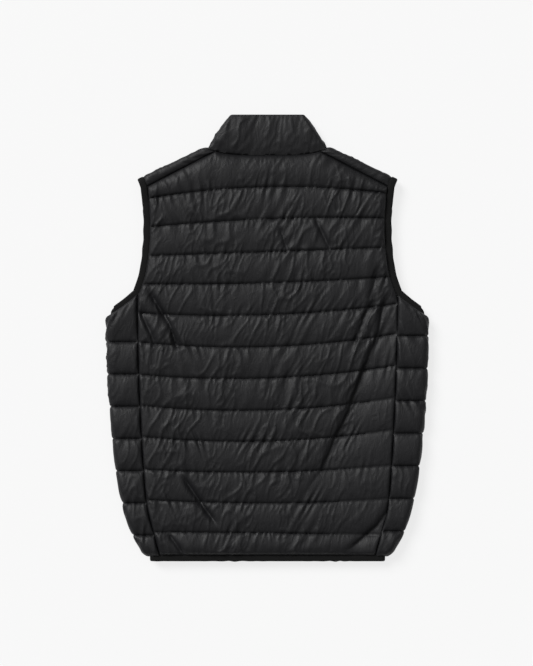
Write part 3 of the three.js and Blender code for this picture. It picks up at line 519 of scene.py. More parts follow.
def edge_distance(plan, border):
    """Each point's distance to the nearest border point on the flat cut. The points are taken in
    parts, so that the table of distances stays small."""
    edge = plan[border]
    flat = plan.reshape(-1, 2)
    parts = np.array_split(flat, max(1, len(flat) // POINTS_AT_ONCE))
    near = [np.sqrt(((part[:, None] - edge[None]) ** 2).sum(-1)).min(1) for part in parts]
    return np.concatenate(near).reshape(plan.shape[:2])


# %% [markdown]
# ## Materials
#
# The shell is a calendered nylon taffeta: a very fine plain weave pressed flat, so it has a soft
# satin gloss and dead black shade between. Its smallest crinkles, a few millimetres long, are too
# small to model and go into the bump. They are drawn on the flat cut in metres, and so are the
# binding's ribs, so both bend with the cloth.


# %% Colour and node helpers
def linear(code):
    """An sRGB hex colour as linear red, green, blue and alpha."""
    srgb = np.array([code >> 16 & 255, code >> 8 & 255, code & 255]) / 255
    low, high = srgb / 12.92, ((srgb + 0.055) / 1.055) ** 2.4
    return (*np.where(srgb <= 0.04045, low, high).tolist(), 1.0)


def add(tree, kind, inputs=None, **settings):
    """Adds a node with its settings, and fills its inputs with a value or a link."""
    node = tree.nodes.new(kind)
    for key, value in settings.items():
        setattr(node, key, value)
    for key, value in (inputs or {}).items():
        if isinstance(value, bpy.types.NodeSocket):
            tree.links.new(value, node.inputs[key])
        else:
            node.inputs[key].default_value = value
    return node


def new_material(name, colour, roughness, **sockets):
    """A material with one Principled shader. sockets are its other values by name, with _ for a
    space. Returns the material, its node tree and the shader."""
    material = bpy.data.materials.new(name)
    material.use_nodes = True
    tree = material.node_tree
    shader = tree.nodes["Principled BSDF"]
    values = {"Base Color": linear(colour), "Roughness": roughness}
    values |= {key.replace("_", " "): value for key, value in sockets.items()}
    for key, value in values.items():
        shader.inputs[key].default_value = value
    return material, tree, shader


def scale_of(size_mm):
    """A texture's scale for features of that size, with coordinates in metres."""
    return 1000 / size_mm


def noise(tree, place, size_mm, detail, distortion):
    """A cloudy pattern with blotches of that size."""
    inputs = {"Vector": place, "Scale": scale_of(size_mm), "Detail": detail, "Distortion": distortion}
    return add(tree, "ShaderNodeTexNoise", inputs, noise_dimensions="2D").outputs["Fac"]


def bands(tree, place, pitch_mm, direction, distortion=0.0):
    """Bands across a direction, dark and light as a sine. The node's sine turns by 20 radians for
    each unit of its coordinates, so at scale 1 the bands are 2 pi / 20 apart."""
    inputs = {"Vector": place, "Scale": scale_of(pitch_mm) * 2 * np.pi / 20, "Distortion": distortion}
    return add(tree, "ShaderNodeTexWave", inputs, bands_direction=direction).outputs["Fac"]


def relief(tree, height, strength, depth_mm, under=None):
    """The normal of a surface that a pattern raises by that depth, on top of an earlier one."""
    inputs = {"Height": height, "Strength": strength, "Distance": depth_mm / 1000}
    if under is not None:
        inputs["Normal"] = under
    return add(tree, "ShaderNodeBump", inputs).outputs["Normal"]


# %% Shell cloth
def shell_cloth():
    """Calendered nylon taffeta, black. Creases about 11 mm apart with a sharp ridge, and softer
    ones of 7 mm, lean with the pleats: they break the satin gloss into short bright lines. The
    plain weave under them only takes the edge off it."""
    material, tree, shader = new_material("calendered nylon taffeta, black", 0x101012, 0.55,
                                          IOR=1.5, Specular_IOR_Level=0.29)
    cloth = add(tree, "ShaderNodeUVMap", uv_map="cloth").outputs["UV"]
    leaning = add(tree, "ShaderNodeMapping", {"Vector": cloth, "Rotation": (0, 0, 0.32),
                                              "Scale": (1.0, 0.5, 1.0)}).outputs["Vector"]
    broad = noise(tree, leaning, 11, 2.5, 0.35)
    sharp = add(tree, "ShaderNodeMath", {0: broad, 1: 0.5}, operation="PINGPONG").outputs["Value"]
    warp, weft = bands(tree, cloth, 0.6, "X"), bands(tree, cloth, 0.6, "Y")
    weave = add(tree, "ShaderNodeMath", {0: warp, 1: weft}, operation="MULTIPLY").outputs["Value"]
    normal = relief(tree, sharp, 0.6, 1.9)
    normal = relief(tree, noise(tree, leaning, 7, 2.0, 0.2), 0.4, 0.5, normal)
    normal = relief(tree, weave, 0.12, 0.016, normal)
    tree.links.new(normal, shader.inputs["Normal"])
    # The pressed gloss is worn off in places.
    worn = add(tree, "ShaderNodeMapRange", {"Value": broad, "To Min": 0.48, "To Max": 0.64})
    tree.links.new(worn.outputs["Result"], shader.inputs["Roughness"])
    return material


def binding_knit():
    """Knitted elastic binding, black: its loops swallow the light, so it reads as a dull dark
    line, and ribs run across it every 1.2 mm."""
    material, tree, shader = new_material("knitted elastic binding, black", 0x0B0B0B, 0.85,
                                          IOR=1.5, Specular_IOR_Level=0.2)
    cloth = add(tree, "ShaderNodeUVMap", uv_map="cloth").outputs["UV"]
    ribs = bands(tree, cloth, 1.2, "X", 0.4)
    tree.links.new(relief(tree, ribs, 0.5, 0.08), shader.inputs["Normal"])
    return material


def tape_weave():
    """Woven polyester zip tape, black: dull, with the slanting ribs of its twill about 1.1 mm
    apart, as the node's diagonal bands lie 1.4 times as wide."""
    material, tree, shader = new_material("woven polyester zip tape, black", 0x151517, 0.8, IOR=1.5)
    place = add(tree, "ShaderNodeTexCoord").outputs["Object"]
    ribs = bands(tree, place, 0.8, "DIAGONAL", 0.3)
    tree.links.new(relief(tree, ribs, 0.4, 0.03), shader.inputs["Normal"])
    return material


SHELL = shell_cloth()
BINDING = binding_knit()
TAPE = tape_weave()
# Moulded acetal zip teeth: smooth and slightly waxy, with a soft wide highlight on each.
TEETH = new_material("moulded acetal zip teeth, black", 0x161618, 0.38, IOR=1.48)[0]
# Die-cast zinc slider and tab under a black lacquer: a dark metal glint along the bevels.
ZINC = new_material("black lacquered zinc", 0x2B2B2E, 0.36, IOR=1.5, Metallic=0.6)[0]
# Corespun polyester sewing thread: a little paler than the shell, so the stitches just show.
THREAD = new_material("polyester sewing thread, black", 0x1D1D1F, 0.6, IOR=1.5)[0]
print("materials:", len(bpy.data.materials))

# %% [markdown]
# ## Quilting stitches
#
# Each quilting line is a row of lockstitch: short loops of thread that sink into the cloth at both
# ends. They are slender diamonds that lie along the seam, joined into one mesh for each panel.

# %% Stitches
STITCH, STITCH_PITCH, THREAD_THICK, THREAD_LIFT = 2.6, 3.3, 0.45, 0.3
# A diamond's corners: 0 and 5 are its ends, 1 to 4 go round its middle.
DIAMOND = [(0, 2, 1), (0, 3, 2), (0, 4, 3), (0, 1, 4), (5, 1, 2), (5, 2, 3), (5, 3, 4), (5, 4, 1)]


def stitches(name, lines, ways_out):
    """One mesh of diamonds along each line of points (metres), lifted the way out of the cloth."""
    points = []
    for line, out in zip(lines, ways_out):
        reach = length_along(line)
        number = int(reach[-1] * 1000 / STITCH_PITCH)
        middle = (np.arange(number) + 0.5) * STITCH_PITCH / 1000
        start, end = (points_at(line, reach, middle + half) for half in (-STITCH / 2000, STITCH / 2000))
        up = unit(points_at(out, reach, middle))
        side = unit(np.cross(up, end - start)) * THREAD_THICK / 2000
        centre = (start + end) / 2 + up * THREAD_LIFT / 1000
        lift = up * THREAD_THICK / 2000
        ring = [start, centre + side, centre + lift, centre - side, centre - lift, end]
        points.append(np.stack(ring, 1))
    points = np.concatenate(points)
    number, corners = points.shape[:2]
    faces = (np.array(DIAMOND) + corners * np.arange(number)[:, None, None]).reshape(-1, 3)
    piece = new_mesh(name, points.reshape(-1, 3), faces.tolist(), THREAD)
    print(f"{name}: {number} stitches")
    return piece


# %% [markdown]
# ## Back
#
# On the real vest the back is one piece of shell over one of lining, cut wide, and quilted in level
# channels about 53 mm apart. The rows of the grid follow the quilting lines and the columns follow
# the side seams, so every seam is a row of the mesh. Right of the longest fold and on the yoke the
# cloth lies calm, with fewer pleats and creases.

# %% Back panel
BACK_COLUMNS = 256
BACK_ROWS = levels([16] + [20] * len(BACK_QUILTING))
BACK_LOFT, BACK_SEAM_THICK = 14.5, 11.0
SIDE_SEAM_THICK = 9.0
SPARE_WIDTH, SPARE_LENGTH = 1.10, 1.06  # the flat cut's size over the finished panel's
BACK_PRESSURE = 20.0
YOKE = 636.0  # height at which the calm cloth of the yoke starts


def back_line(k, x):
    """Height of quilting line k: a parabola through its left, centre and right heights."""
    table = np.array([(HEM_START,) * 3, *BACK_QUILTING, (0,) * 3], float)
    left, centre, right = np.moveaxis(table[k], -1, 0)
    t = x / QUILT_HALF_SPAN
    line = centre + (right - left) / 2 * t + ((right + left) / 2 - centre) * t * t
    line = line + 0.8 * gathers(x + 37 * k, 0, 3, 15.0, 0)  # a sewn line is never quite straight
    line = np.where(k == 0, HEM_START, line)
    return np.where(k == len(BACK_QUILTING) + 1, back_top(x) - GAP / 2, line)


def back_plan():
    """Plan of the back's grid: each point's height follows from its channel and its width from
    the height, found by repeating both a few times."""
    shape = (len(BACK_ROWS), BACK_COLUMNS + 1)
    fraction = np.broadcast_to(np.linspace(-1, 1, shape[1]), shape)
    channel = np.minimum(np.floor(BACK_ROWS), len(BACK_QUILTING)).astype(int)[:, None]
    channel = np.broadcast_to(channel, shape)
    s = BACK_ROWS[:, None] - channel
    x = np.zeros(shape)
    for _ in range(6):
        along = lerp(back_line(channel, x), back_line(channel + 1, x), s)
        x = fraction * (back_half(along) - GAP / 2)
    return x, along


def make_back():
    """The back's shell: sewn rows and gathers, filled by the solver. Then seam pleats and creases
    are raised on it, and the stitched grooves and long folds pressed in."""
    x, along = back_plan()
    sewn = np.nonzero(BACK_ROWS % 1 == 0)[0]
    present = np.ones((x.shape[0] - 1, x.shape[1] - 1), bool)
    border = border_mask(present)
    plan = np.stack([x, along], -1)
    s = between(len(BACK_ROWS), sewn)
    # 1 to the right of the longest fold, up to a height of 290 mm, and 0 elsewhere.
    right_of_fold = smooth((x - 60 - 0.35 * along) / 40) * smooth((350 - along) / 60)
    gathered = seam_gathers(x, along, sewn, 10) * (1 - 0.65 * right_of_fold)
    full = lerp(BACK_SEAM_THICK, BACK_LOFT, puff(s)) + gathered
    # The edge is thick along the side seams, and thin along the hem, the armholes and the top.
    at_side = smooth((UNDERARM_ALONG - 4 - along) / 12) * smooth((along - HEM_START) / 12)
    near_side = np.abs(x) > back_half(along) - 30
    edge = np.where(near_side, lerp(EDGE_THICK, SIDE_SEAM_THICK, at_side), EDGE_THICK)
    from_edge = edge_distance(plan, border)
    thick = lerp(edge, full, rise(from_edge, lerp(16.0, 7.0, at_side)))
    base = np.stack([x, along, np.full_like(x, MID + LAYER_GAP / 2)], -1)
    out = np.zeros_like(base)
    out[..., 2] = 1
    pinned = border.copy()
    pinned[sewn] = True
    cut = plan * [SPARE_WIDTH, SPARE_LENGTH] / 1000
    filled = inflate(to_frame(base + out * thick[..., None]), cut, pinned, present, BACK_PRESSURE)

    seams = sewn[1:-1]
    pressed = fold_depth(x, along) + groove(along, seams) * (1 - 0.5 * right_of_fold)
    pleats = seam_ridges(x, along, sewn, 40) * (1 - 0.7 * right_of_fold)
    calm = np.maximum(right_of_fold, smooth((along - YOKE) / 16))
    creases = 1.7 * crumple(x, along, 4, 36.0) + 1.3 * crumple(x, along, 5, 19.0)
    raised = pleats + creases * (1 - 0.6 * calm)
    filled[..., 2] += (raised - pressed) * rise(from_edge, 12.0) / 1000
    # The bindings hold the armhole and hem edges flat: from them the cloth may climb 4 in 1.
    from_arm = np.where(along > UNDERARM_ALONG, back_half(along) - np.abs(x), np.inf)
    bound = np.minimum(from_arm, along - HEM_START)
    ceiling = MID + EDGE_THICK + 4 * np.maximum(0, bound - BAND_LAP) + 0.8 * raised * smooth(bound / 8)
    filled[..., 2] = np.minimum(filled[..., 2], ceiling / 1000)

    piece = close_panel("back_panel", filled, to_frame(base), cut, present, SHELL)
    lines, ways_out = filled[seams, 2:-2], out[seams, 2:-2]
    return piece, stitches("back_stitches", lines, ways_out)


back, back_thread = make_back()

# %% [markdown]
# ## Fronts
#
# Each front is cut in one with its side: it runs from the zip over the under layer, turns round
# the side fold and comes up to the side seam. Above the underarm it goes on to the shoulder, turns
# over the shoulder fold and meets the back at the shoulder seam. The grid starts at the side seam
# and ends at the zip, so that its outer face looks out on both sides.

# %% Front panels
# Columns from the zip to the neck corner, to the armhole, to the side fold, round it, and on to
# the side seam.
ZIP_TO_NECK, NECK_TO_ARM, ARM_TO_FOLD, ROUND_FOLD, FOLD_TO_SEAM = 28, 32, 16, 16, 20
NECK_COLUMN, ARM_COLUMN = ZIP_TO_NECK, ZIP_TO_NECK + NECK_TO_ARM
NECK_SHARE, ARM_SHARE = 0.35, 0.785  # of the way from the zip to the fold
# Rows: the hem channel, six side channels, up to the underarm, three more, two to the neck and
# shoulder line, round the shoulder fold, and on to the shoulder seam.
CROWDED_ROWS = 28
FRONT_ROWS = levels([16] + [20] * 6 + [CROWDED_ROWS] + [16, 20, 20, 16, 16] + [12, 8])
UNDERARM_LEVEL, NECK_LEVEL, OVER_LEVEL, SEAM_LEVEL = 8, 13, 14, 15
FAN_LEVEL = 11  # from here up the rows fan out to the neck and shoulder line
SIDE_LINES = 6  # quilting pitches up the side strip
QUILTED_LEVELS = [0, 1, 2, 3, 4, 5, 6, 7, 9, 10, 11, 12, SEAM_LEVEL]
FRONT_SEAM_THICK, FOLD_SEAM_THICK, STRIP_LOFT = 8.5, 12.0, 15.0
FRONT_PRESSURE = 14.0


def front_columns():
    """Share of the way from the zip to the fold for the under layer's columns."""
    parts = [np.linspace(0, NECK_SHARE, ZIP_TO_NECK, endpoint=False),
             np.linspace(NECK_SHARE, ARM_SHARE, NECK_TO_ARM, endpoint=False),
             np.linspace(ARM_SHARE, 1, ARM_TO_FOLD + 1)]
    return np.concatenate(parts)


def front_neck(f):
    """Plan of the front's neck seam: a parabola from the zip at f = 0 to the neck corner at 1."""
    return np.stack([lerp(ZIP_HALF, NECK_CORNER[0], f), lerp(NECK_FRONT, NECK_CORNER[1], f ** 2)], -1)


def shoulder_axis(t):
    """The shoulder fold's axis and the way out of it in plan, from the neck corner to the armhole."""
    ease = smooth(4 * t)[..., None]
    out = unit(CORNER_OUT * (1 - ease) + SHOULDER_OUT * ease)
    tip = SHOULDER_TIP - SHOULDER_OUT * (LAYER_GAP / 2 + SHOULDER_LOFT)
    return lerp(NECK_CORNER - CORNER_UP * GAP / 2, tip, t[..., None]), out


def front_grid(first, pitch):
    """Inner face, way out and flat cut of a front built on the +X side."""
    share = front_columns()
    turn = np.linspace(0, 1, ROUND_FOLD + 1)[1:]
    strip = np.linspace(0, 1, FOLD_TO_SEAM + 1)[1:]
    shape = (len(FRONT_ROWS), len(share) + len(turn) + len(strip))
    base, out, cut = np.zeros((*shape, 3)), np.zeros((*shape, 3)), np.zeros((*shape, 2))

    # Up to the underarm: level rows, crowded together under the curve.
    side = FRONT_ROWS <= UNDERARM_LEVEL
    last = first + SIDE_LINES * pitch
    lines = [HEM_START, *(first + pitch * np.arange(SIDE_LINES + 1)), ARM_CORNER]
    level = np.interp(FRONT_ROWS[side], np.arange(len(lines)), lines)[:, None]
    crowd = np.clip((level - last) / (ARM_CORNER - last), 0, 1)

    def height(across):
        """Height of each row's point at that distance from the fold."""
        edge = np.where(across > UNDERARM[-1][0], ARM_CORNER, curve(UNDERARM, across)) - GAP / 2
        return np.where((across > UNDERARM[-1][0]) | (level <= last), level, lerp(last, edge, crowd))

    zip_edge = across_of(ZIP_HALF, level)
    # A row's height and the place of the side seam follow from each other: both are repeated.
    seam = np.full_like(level, -2 * FOLD_SPAN)
    for _ in range(5):
        seam = -across_of(back_half(height(seam)) + GAP / 2, height(seam))
    across = np.concatenate([lerp(zip_edge, FOLD_SPAN / 2, share),
                             lerp(FOLD_SPAN / 2, -FOLD_SPAN / 2, turn) + 0 * level,
                             lerp(-FOLD_SPAN / 2, seam, strip)], 1)
    along = height(across)
    base[side], out[side] = wrap_side(across, along)
    # The outer shell needs more cloth round the fold than its inner face: arc times as much.
    arc = np.pi * (FOLD_LOFT + LAYER_GAP / 2) / FOLD_SPAN
    near = np.clip(across, -FOLD_SPAN / 2, FOLD_SPAN / 2)
    cut[side] = np.stack([-(across - near + near * arc), along], -1)

    # Above it: level rows beside the armhole, then fanning out to the neck and shoulder line.
    under = share[:ARM_COLUMN + 1]
    above = (FRONT_ROWS > UNDERARM_LEVEL) & (FRONT_ROWS <= NECK_LEVEL)
    lines = [ARM_CORNER, *(first + pitch * np.array([8, 9, 10]))]
    level = np.interp(FRONT_ROWS[above], UNDERARM_LEVEL + np.arange(4), lines)[:, None]
    x = lerp(ZIP_HALF, curve(FRONT_ARMHOLE, level) - GAP / 2, under / ARM_SHARE)
    plan = np.stack([x, level + 0 * x], -1)
    t = np.clip((under - NECK_SHARE) / (ARM_SHARE - NECK_SHARE), 0, 1)
    axis, fold_out = shoulder_axis(t)
    neck = front_neck(np.clip(under / NECK_SHARE, 0, 1)) - [0, GAP / 2]
    top = np.where((under < NECK_SHARE)[:, None], neck, axis)
    fan = np.clip((FRONT_ROWS[above] - FAN_LEVEL) / (NECK_LEVEL - FAN_LEVEL), 0, 1)[:, None, None]
    plan = lerp(plan, top, fan)
    across = across_of(plan[..., 0], plan[..., 1])
    part = np.ix_(above, np.arange(ARM_COLUMN + 1))
    base[part], out[part] = wrap_side(across, plan[..., 1])
    cut[part] = np.stack([-(across + FOLD_SPAN / 2 * (arc - 1)), plan[..., 1]], -1)

    # Round the shoulder fold and down to the shoulder seam. On the flat cut this part goes on
    # straight past the fold.
    over = FRONT_ROWS > NECK_LEVEL
    step = np.clip(FRONT_ROWS[over] - NECK_LEVEL, 0, 1)[:, None]
    down = np.clip(FRONT_ROWS[over] - OVER_LEVEL, 0, 1)[:, None, None]
    angle = (step - 0.5) * np.pi + 0 * t
    flat_out = fold_out[None] * np.cos(angle)[..., None]
    seam_plan = lerp(SEAM_AT_NECK, SEAM_AT_ARM, t[:, None]) + [0.0, GAP / 2]
    plan = lerp(axis[None], seam_plan[None], down)
    part = np.ix_(over, np.arange(ARM_COLUMN + 1))
    out[part] = np.concatenate([flat_out, np.sin(angle)[..., None]], -1)
    middle = np.concatenate([plan, np.full((*angle.shape, 1), MID)], -1)
    base[part] = middle + out[part] * LAYER_GAP / 2
    loft = lerp(NECK_LOFT, SHOULDER_LOFT, t)
    past_fold = np.linalg.norm(seam_plan - axis, axis=-1) * down[..., 0]
    reach = step * np.pi * (loft + LAYER_GAP / 2) + past_fold
    opened = axis[None] + fold_out[None] * reach[..., None]
    across = across_of(opened[..., 0], ARM_CORNER)
    cut[part] = np.stack([-(across + FOLD_SPAN / 2 * (arc - 1)), opened[..., 1]], -1)
    return base, out, cut


def row_of(level):
    """Number of the grid row at a level of the fronts."""
    return np.nonzero(FRONT_ROWS == level)[0][0]


def make_front(name, side):
    """One front: side is 1 for the right, at +X, and -1 for the left."""
    first, pitch = FRONT_QUILTING[name]
    base, out, cut = front_grid(first, pitch)
    rows, columns = base.shape[:2]
    present = np.ones((rows - 1, columns - 1), bool)
    present[row_of(UNDERARM_LEVEL):, ARM_COLUMN:] = False
    present[row_of(NECK_LEVEL):, :NECK_COLUMN] = False
    border = border_mask(present)
    lines = np.nonzero(np.isin(FRONT_ROWS, QUILTED_LEVELS))[0]
    # One more line, at underarm height, is sewn on the under layer only.
    last = first + SIDE_LINES * pitch
    crowded = row_of(SIDE_LINES + 1) + min(round(CROWDED_ROWS * pitch / (ARM_CORNER - last)), 24)
    sewn = np.sort(np.append(lines, crowded))
    below = np.arange(columns) <= ARM_COLUMN - 6
    s = np.where(below, between(rows, sewn), between(rows, lines))
    # Thickness at a seam and over a puff: the strip on top is the fullest, the side fold keeps its
    # padding at the seams too, and the shoulder is thin.
    on_top = (out[..., 2] > 0) * smooth(out[..., 2])
    at_fold = np.abs(out[..., 0])
    low = lerp(FRONT_SEAM_THICK, FOLD_SEAM_THICK, at_fold)
    high = lerp(MID - LAYER_GAP / 2, STRIP_LOFT - 1, on_top)
    shoulder = (FRONT_ROWS > NECK_LEVEL - 1)[:, None]
    high = np.where(shoulder, SHOULDER_LOFT, high)
    low = np.where(shoulder, np.minimum(low, SHOULDER_LOFT), low)
    u, v = cut[..., 0], cut[..., 1]
    thick = lerp(low, high, puff(s)) + seam_gathers(u, v, sewn, 200 + 100 * side)
    at_side = np.zeros(thick.shape)
    along = base[:, -30:, 1]  # the columns near the side seam
    at_side[:, -30:] = smooth((UNDERARM_ALONG - 8 - along) / 12) * smooth((along - HEM_START) / 12)
    edge = lerp(EDGE_THICK, SIDE_SEAM_THICK, at_side)
    from_edge = edge_distance(cut, border)
    thick = lerp(edge, thick, rise(from_edge, lerp(14.0, 7.0, at_side)))
    pinned = border.copy()
    pinned[lines] = True
    pinned[crowded, below] = True
    detail = seam_ridges(u, v, sewn, 500 + 100 * side, 0.8) - groove(v, lines[1:-1])
    detail = (detail + 1.4 * crumple(u, v, 6 + side, 26.0)) * rise(from_edge, 12.0)
    # From the seam to the zip for the right front; the left one is its mirror image.
    order = slice(None, None, -1) if side > 0 else slice(None)
    flip = np.array([side, 1, 1])
    base, out = base[:, order] * flip, out[:, order] * flip
    cut, thick, pinned, present = cut[:, order], thick[:, order], pinned[:, order], present[:, order]
    detail, below = detail[:, order], below[order]
    cut = cut * [SPARE_WIDTH, SPARE_LENGTH] / 1000 * [-side, 1]
    filled = inflate(to_frame(base + out * thick[..., None]), cut, pinned, present, FRONT_PRESSURE)
    filled += out * detail[..., None] / 1000
    # The floor presses the lower puffs flat.
    filled[..., 2] = np.maximum(filled[..., 2], 0)
    piece = close_panel(f"front_{name}_panel", filled, to_frame(base), cut, present, SHELL)
    there = np.pad(present, ((1, 0), (1, 0))) | np.pad(present, ((0, 1), (0, 1)))
    seams = []
    for row in sewn[1:-1]:
        shown = there[row] & (below if row == crowded else True)
        seams.append((filled[row][shown][2:-2], out[row][shown][2:-2]))
    thread = stitches(f"front_{name}_stitches", *zip(*seams))
    return piece, thread


right, right_thread = make_front("right", 1)
left, left_thread = make_front("left", -1)

# %% [markdown]
# ## Collar
#
# The stand collar is one padded band that runs from the zip round the neck and back to the zip. It
# is folded flat with the vest: its back lies on top, its front underneath, and it turns over at
# both ends.

# %% Collar
COLLAR_HEIGHT, COLLAR_LOFT = 60.0, 9.5
COLLAR_SPARE, COLLAR_PRESSURE = 1.08, 14.0
COLLAR_BEND = -40.0  # the collar bends here, and slopes gently down to its left end
COLLAR_ROWS, COLLAR_FRONT_COLUMNS, COLLAR_FOLD_COLUMNS, COLLAR_BACK_COLUMNS = 24, 32, 8, 36


def collar_half():
    """Inner face and way out of the right half, from the zip to centre back, row by row. Its end
    turns over an axis that leans with the outline, and levels out at the top."""
    level = np.linspace(0, 1, COLLAR_ROWS + 1)[:, None]
    out_plan = unit(lerp(CORNER_OUT, COLLAR_OUT, smooth(3 * level)))
    out_plan = unit(lerp(out_plan, np.array([1.0, 0.0]), smooth(4 * level - 3)))
    outline = lerp(NECK_POINT + CORNER_UP * GAP / 2, COLLAR_TIP, level)
    axis = outline - out_plan * (LAYER_GAP / 2 + lerp(NECK_LOFT, EDGE_THICK, level))
    t = np.linspace(0, 1, COLLAR_FRONT_COLUMNS + 1)
    low, high = front_neck(t)[:, 1] + GAP / 2, lerp(COLLAR_FRONT_TOP, COLLAR_TIP[1], t ** 2)
    y = lerp(lerp(low, high, level), axis[:, 1:], t ** 8)
    front = np.stack([lerp(ZIP_HALF, axis[:, :1], t), y, MID + 0 * y], -1)
    angle = np.linspace(-0.5, 0.5, COLLAR_FOLD_COLUMNS + 1)[1:-1] * np.pi + 0 * level
    turn = np.concatenate([np.broadcast_to(axis[:, None], (*angle.shape, 2)),
                           np.full((*angle.shape, 1), MID)], -1)
    t = np.linspace(1, 0, COLLAR_BACK_COLUMNS + 1)
    low = NECK_BACK + (NECK_CORNER[1] - NECK_BACK) * t ** 4 + GAP / 2
    y = lerp(lerp(low, COLLAR_TIP[1], level), axis[:, 1:], t ** 8)
    behind = np.stack([axis[:, :1] * t, y, MID + 0 * y], -1)
    base = np.concatenate([front, turn, behind], 1)
    angle = np.concatenate([np.full((len(level), front.shape[1]), -np.pi / 2), angle,
                            np.full((len(level), behind.shape[1]), np.pi / 2)], 1)
    out = np.concatenate([out_plan[:, None] * np.cos(angle)[..., None], np.sin(angle)[..., None]], -1)
    return base + out * LAYER_GAP / 2, out


def make_collar():
    """The whole band, fullest a little above its middle and at its bend, with pleats gathered into
    the neck seam and along the top edge."""
    base, out = collar_half()
    flip = np.array([-1, 1, 1])
    base = np.concatenate([base * flip, base[:, -2::-1]], 1)
    out = np.concatenate([out * flip, out[:, -2::-1]], 1)
    rows, columns = base.shape[:2]
    present = np.ones((rows - 1, columns - 1), bool)
    border = border_mask(present)
    level = np.linspace(0, 1, rows)[:, None]
    # The flat cut: length along the outside from centre back, and height above the neck seam.
    round_it = base + out * lerp(NECK_LOFT, EDGE_THICK, level)[..., None]
    reach = np.cumsum(np.linalg.norm(np.diff(round_it, axis=1, prepend=round_it[:, :1]), axis=-1), 1)
    reach -= reach[:, columns // 2][:, None]
    cut = np.stack([reach, COLLAR_HEIGHT * level + 0 * reach], -1)
    tall = np.clip(np.abs(out[..., 2]) * 4 - 3, 0, 1)  # less full where it turns over
    thick = lerp(EDGE_THICK, lerp(NECK_LOFT, COLLAR_LOFT, tall), puff(level ** 1.8))
    from_bend = base[..., 0] - COLLAR_BEND
    bend = np.exp(-(np.abs(from_bend) / np.where(from_bend < 0, 45, 13)) ** 1.5)
    thick = thick + 3.0 * bend * puff(level) * (out[..., 2] > 0.9)
    seams = [0, rows - 1]
    waves = seam_gathers(cut[..., 0], cut[..., 1], seams, 600, 1.2, 24.0)
    thick = thick + waves * (0.3 + 0.7 * tall)
    thick = lerp(EDGE_THICK, thick, rise(edge_distance(cut, border), 14.0))
    cut = cut * COLLAR_SPARE / 1000
    filled = inflate(to_frame(base + out * thick[..., None]), cut, border, present, COLLAR_PRESSURE)
    height = cut[..., 1] * 1000
    pleats = seam_ridges(reach, height, seams, 900, 1.1) * (0.3 + 0.7 * tall)
    pleats = pleats + 1.8 * crumple(reach, height, 9, 30.0) + 1.2 * crumple(reach, height, 11, 16.0)
    filled += out * (pleats * rise(level, 0.2) * rise(1 - level, 0.2))[..., None] / 1000
    filled[..., 2] = np.maximum(filled[..., 2], 0)
    return close_panel("collar_band", filled, to_frame(base), cut, present, SHELL)


collar = make_collar()

# %% [markdown]
# ## Elastic bindings
#
# The armholes and the hem are bound with a knitted elastic tape, folded over the raw edge and sewn
# through. Stretched on as it is sewn, it draws the edge in a little, so it waves gently.


# %% Bindings
BAND_SIDES = 20
BAND_BULGE = 0.8  # the folded tape is this much thicker than the edge it covers
SECTION_PITCH = 3.0
TIP_BULK, TIP_REACH = 3.0, 30.0  # its layers pile up where it turns over the shoulder tip


def band(name, at, across, out, width, thick, closed):
    """A soft folded strip carried along an edge. At each section: a point of the layer's inner
    face, the direction across the strip, the direction out of the layer and the strip's
    thickness, in millimetres. A section is a rounded square, a circle whose cosine and sine are
    taken to the power 0.55. The strip swells and its free edge waves along the way."""
    count, k = len(at), np.arange(BAND_SIDES)
    turn = k / BAND_SIDES * 2 * np.pi
    a, b = (np.sign(part) * np.abs(part) ** 0.55 for part in (np.cos(turn), np.sin(turn)))
    reach = length_along(at)
    swell = 1 + 0.05 * gathers(reach, 0, 7, 14.0, 0)[:, None]
    wave = 0.9 * gathers(reach, 0, 11, 24.0, 0)[:, None, None] * (1 + a[:, None]) / 2
    points = (at[:, None] + across[:, None] * (width / 2 * (1 + a[:, None]) + wave)
              + out[:, None] * (thick[:, None, None] / 2 * (1 + b * swell)[..., None]))
    points = points.reshape(-1, 3)
    section = np.arange(count if closed else count - 1)[:, None]
    here, there = section * BAND_SIDES, (section + 1) % count * BAND_SIDES
    after = (k + 1) % BAND_SIDES
    faces = np.stack([here + k, here + after, there + after, there + k], -1).reshape(-1, 4)
    # A triangle of each face and the middle enclose a volume: below 0 when the faces look inwards.
    p, q, r = np.moveaxis(points[faces[:, :3]] - points.mean(0), 1, 0)
    looks_in = (p * np.cross(q, r)).sum() < 0
    faces = faces.tolist()
    if not closed:
        faces += [k[::-1].tolist(), ((count - 1) * BAND_SIDES + k).tolist()]
    if looks_in:
        faces = [face[::-1] for face in faces]
    round_it = turn / (2 * np.pi) * 2 * (width + thick[:, None])
    cloth = np.stack([reach[:, None] + 0 * turn, round_it], -1).reshape(-1, 2)
    piece = new_mesh(name, to_frame(points), faces, BINDING, cloth / 1000)
    print(f"{name}: {reach[-1]:.0f} mm long")
    return piece, reach[-1]


def even(line, pitch):
    """The same line with points every pitch millimetres."""
    length = length_along(line)
    return points_at(line, length, np.linspace(0, length[-1], int(length[-1] / pitch) + 1))


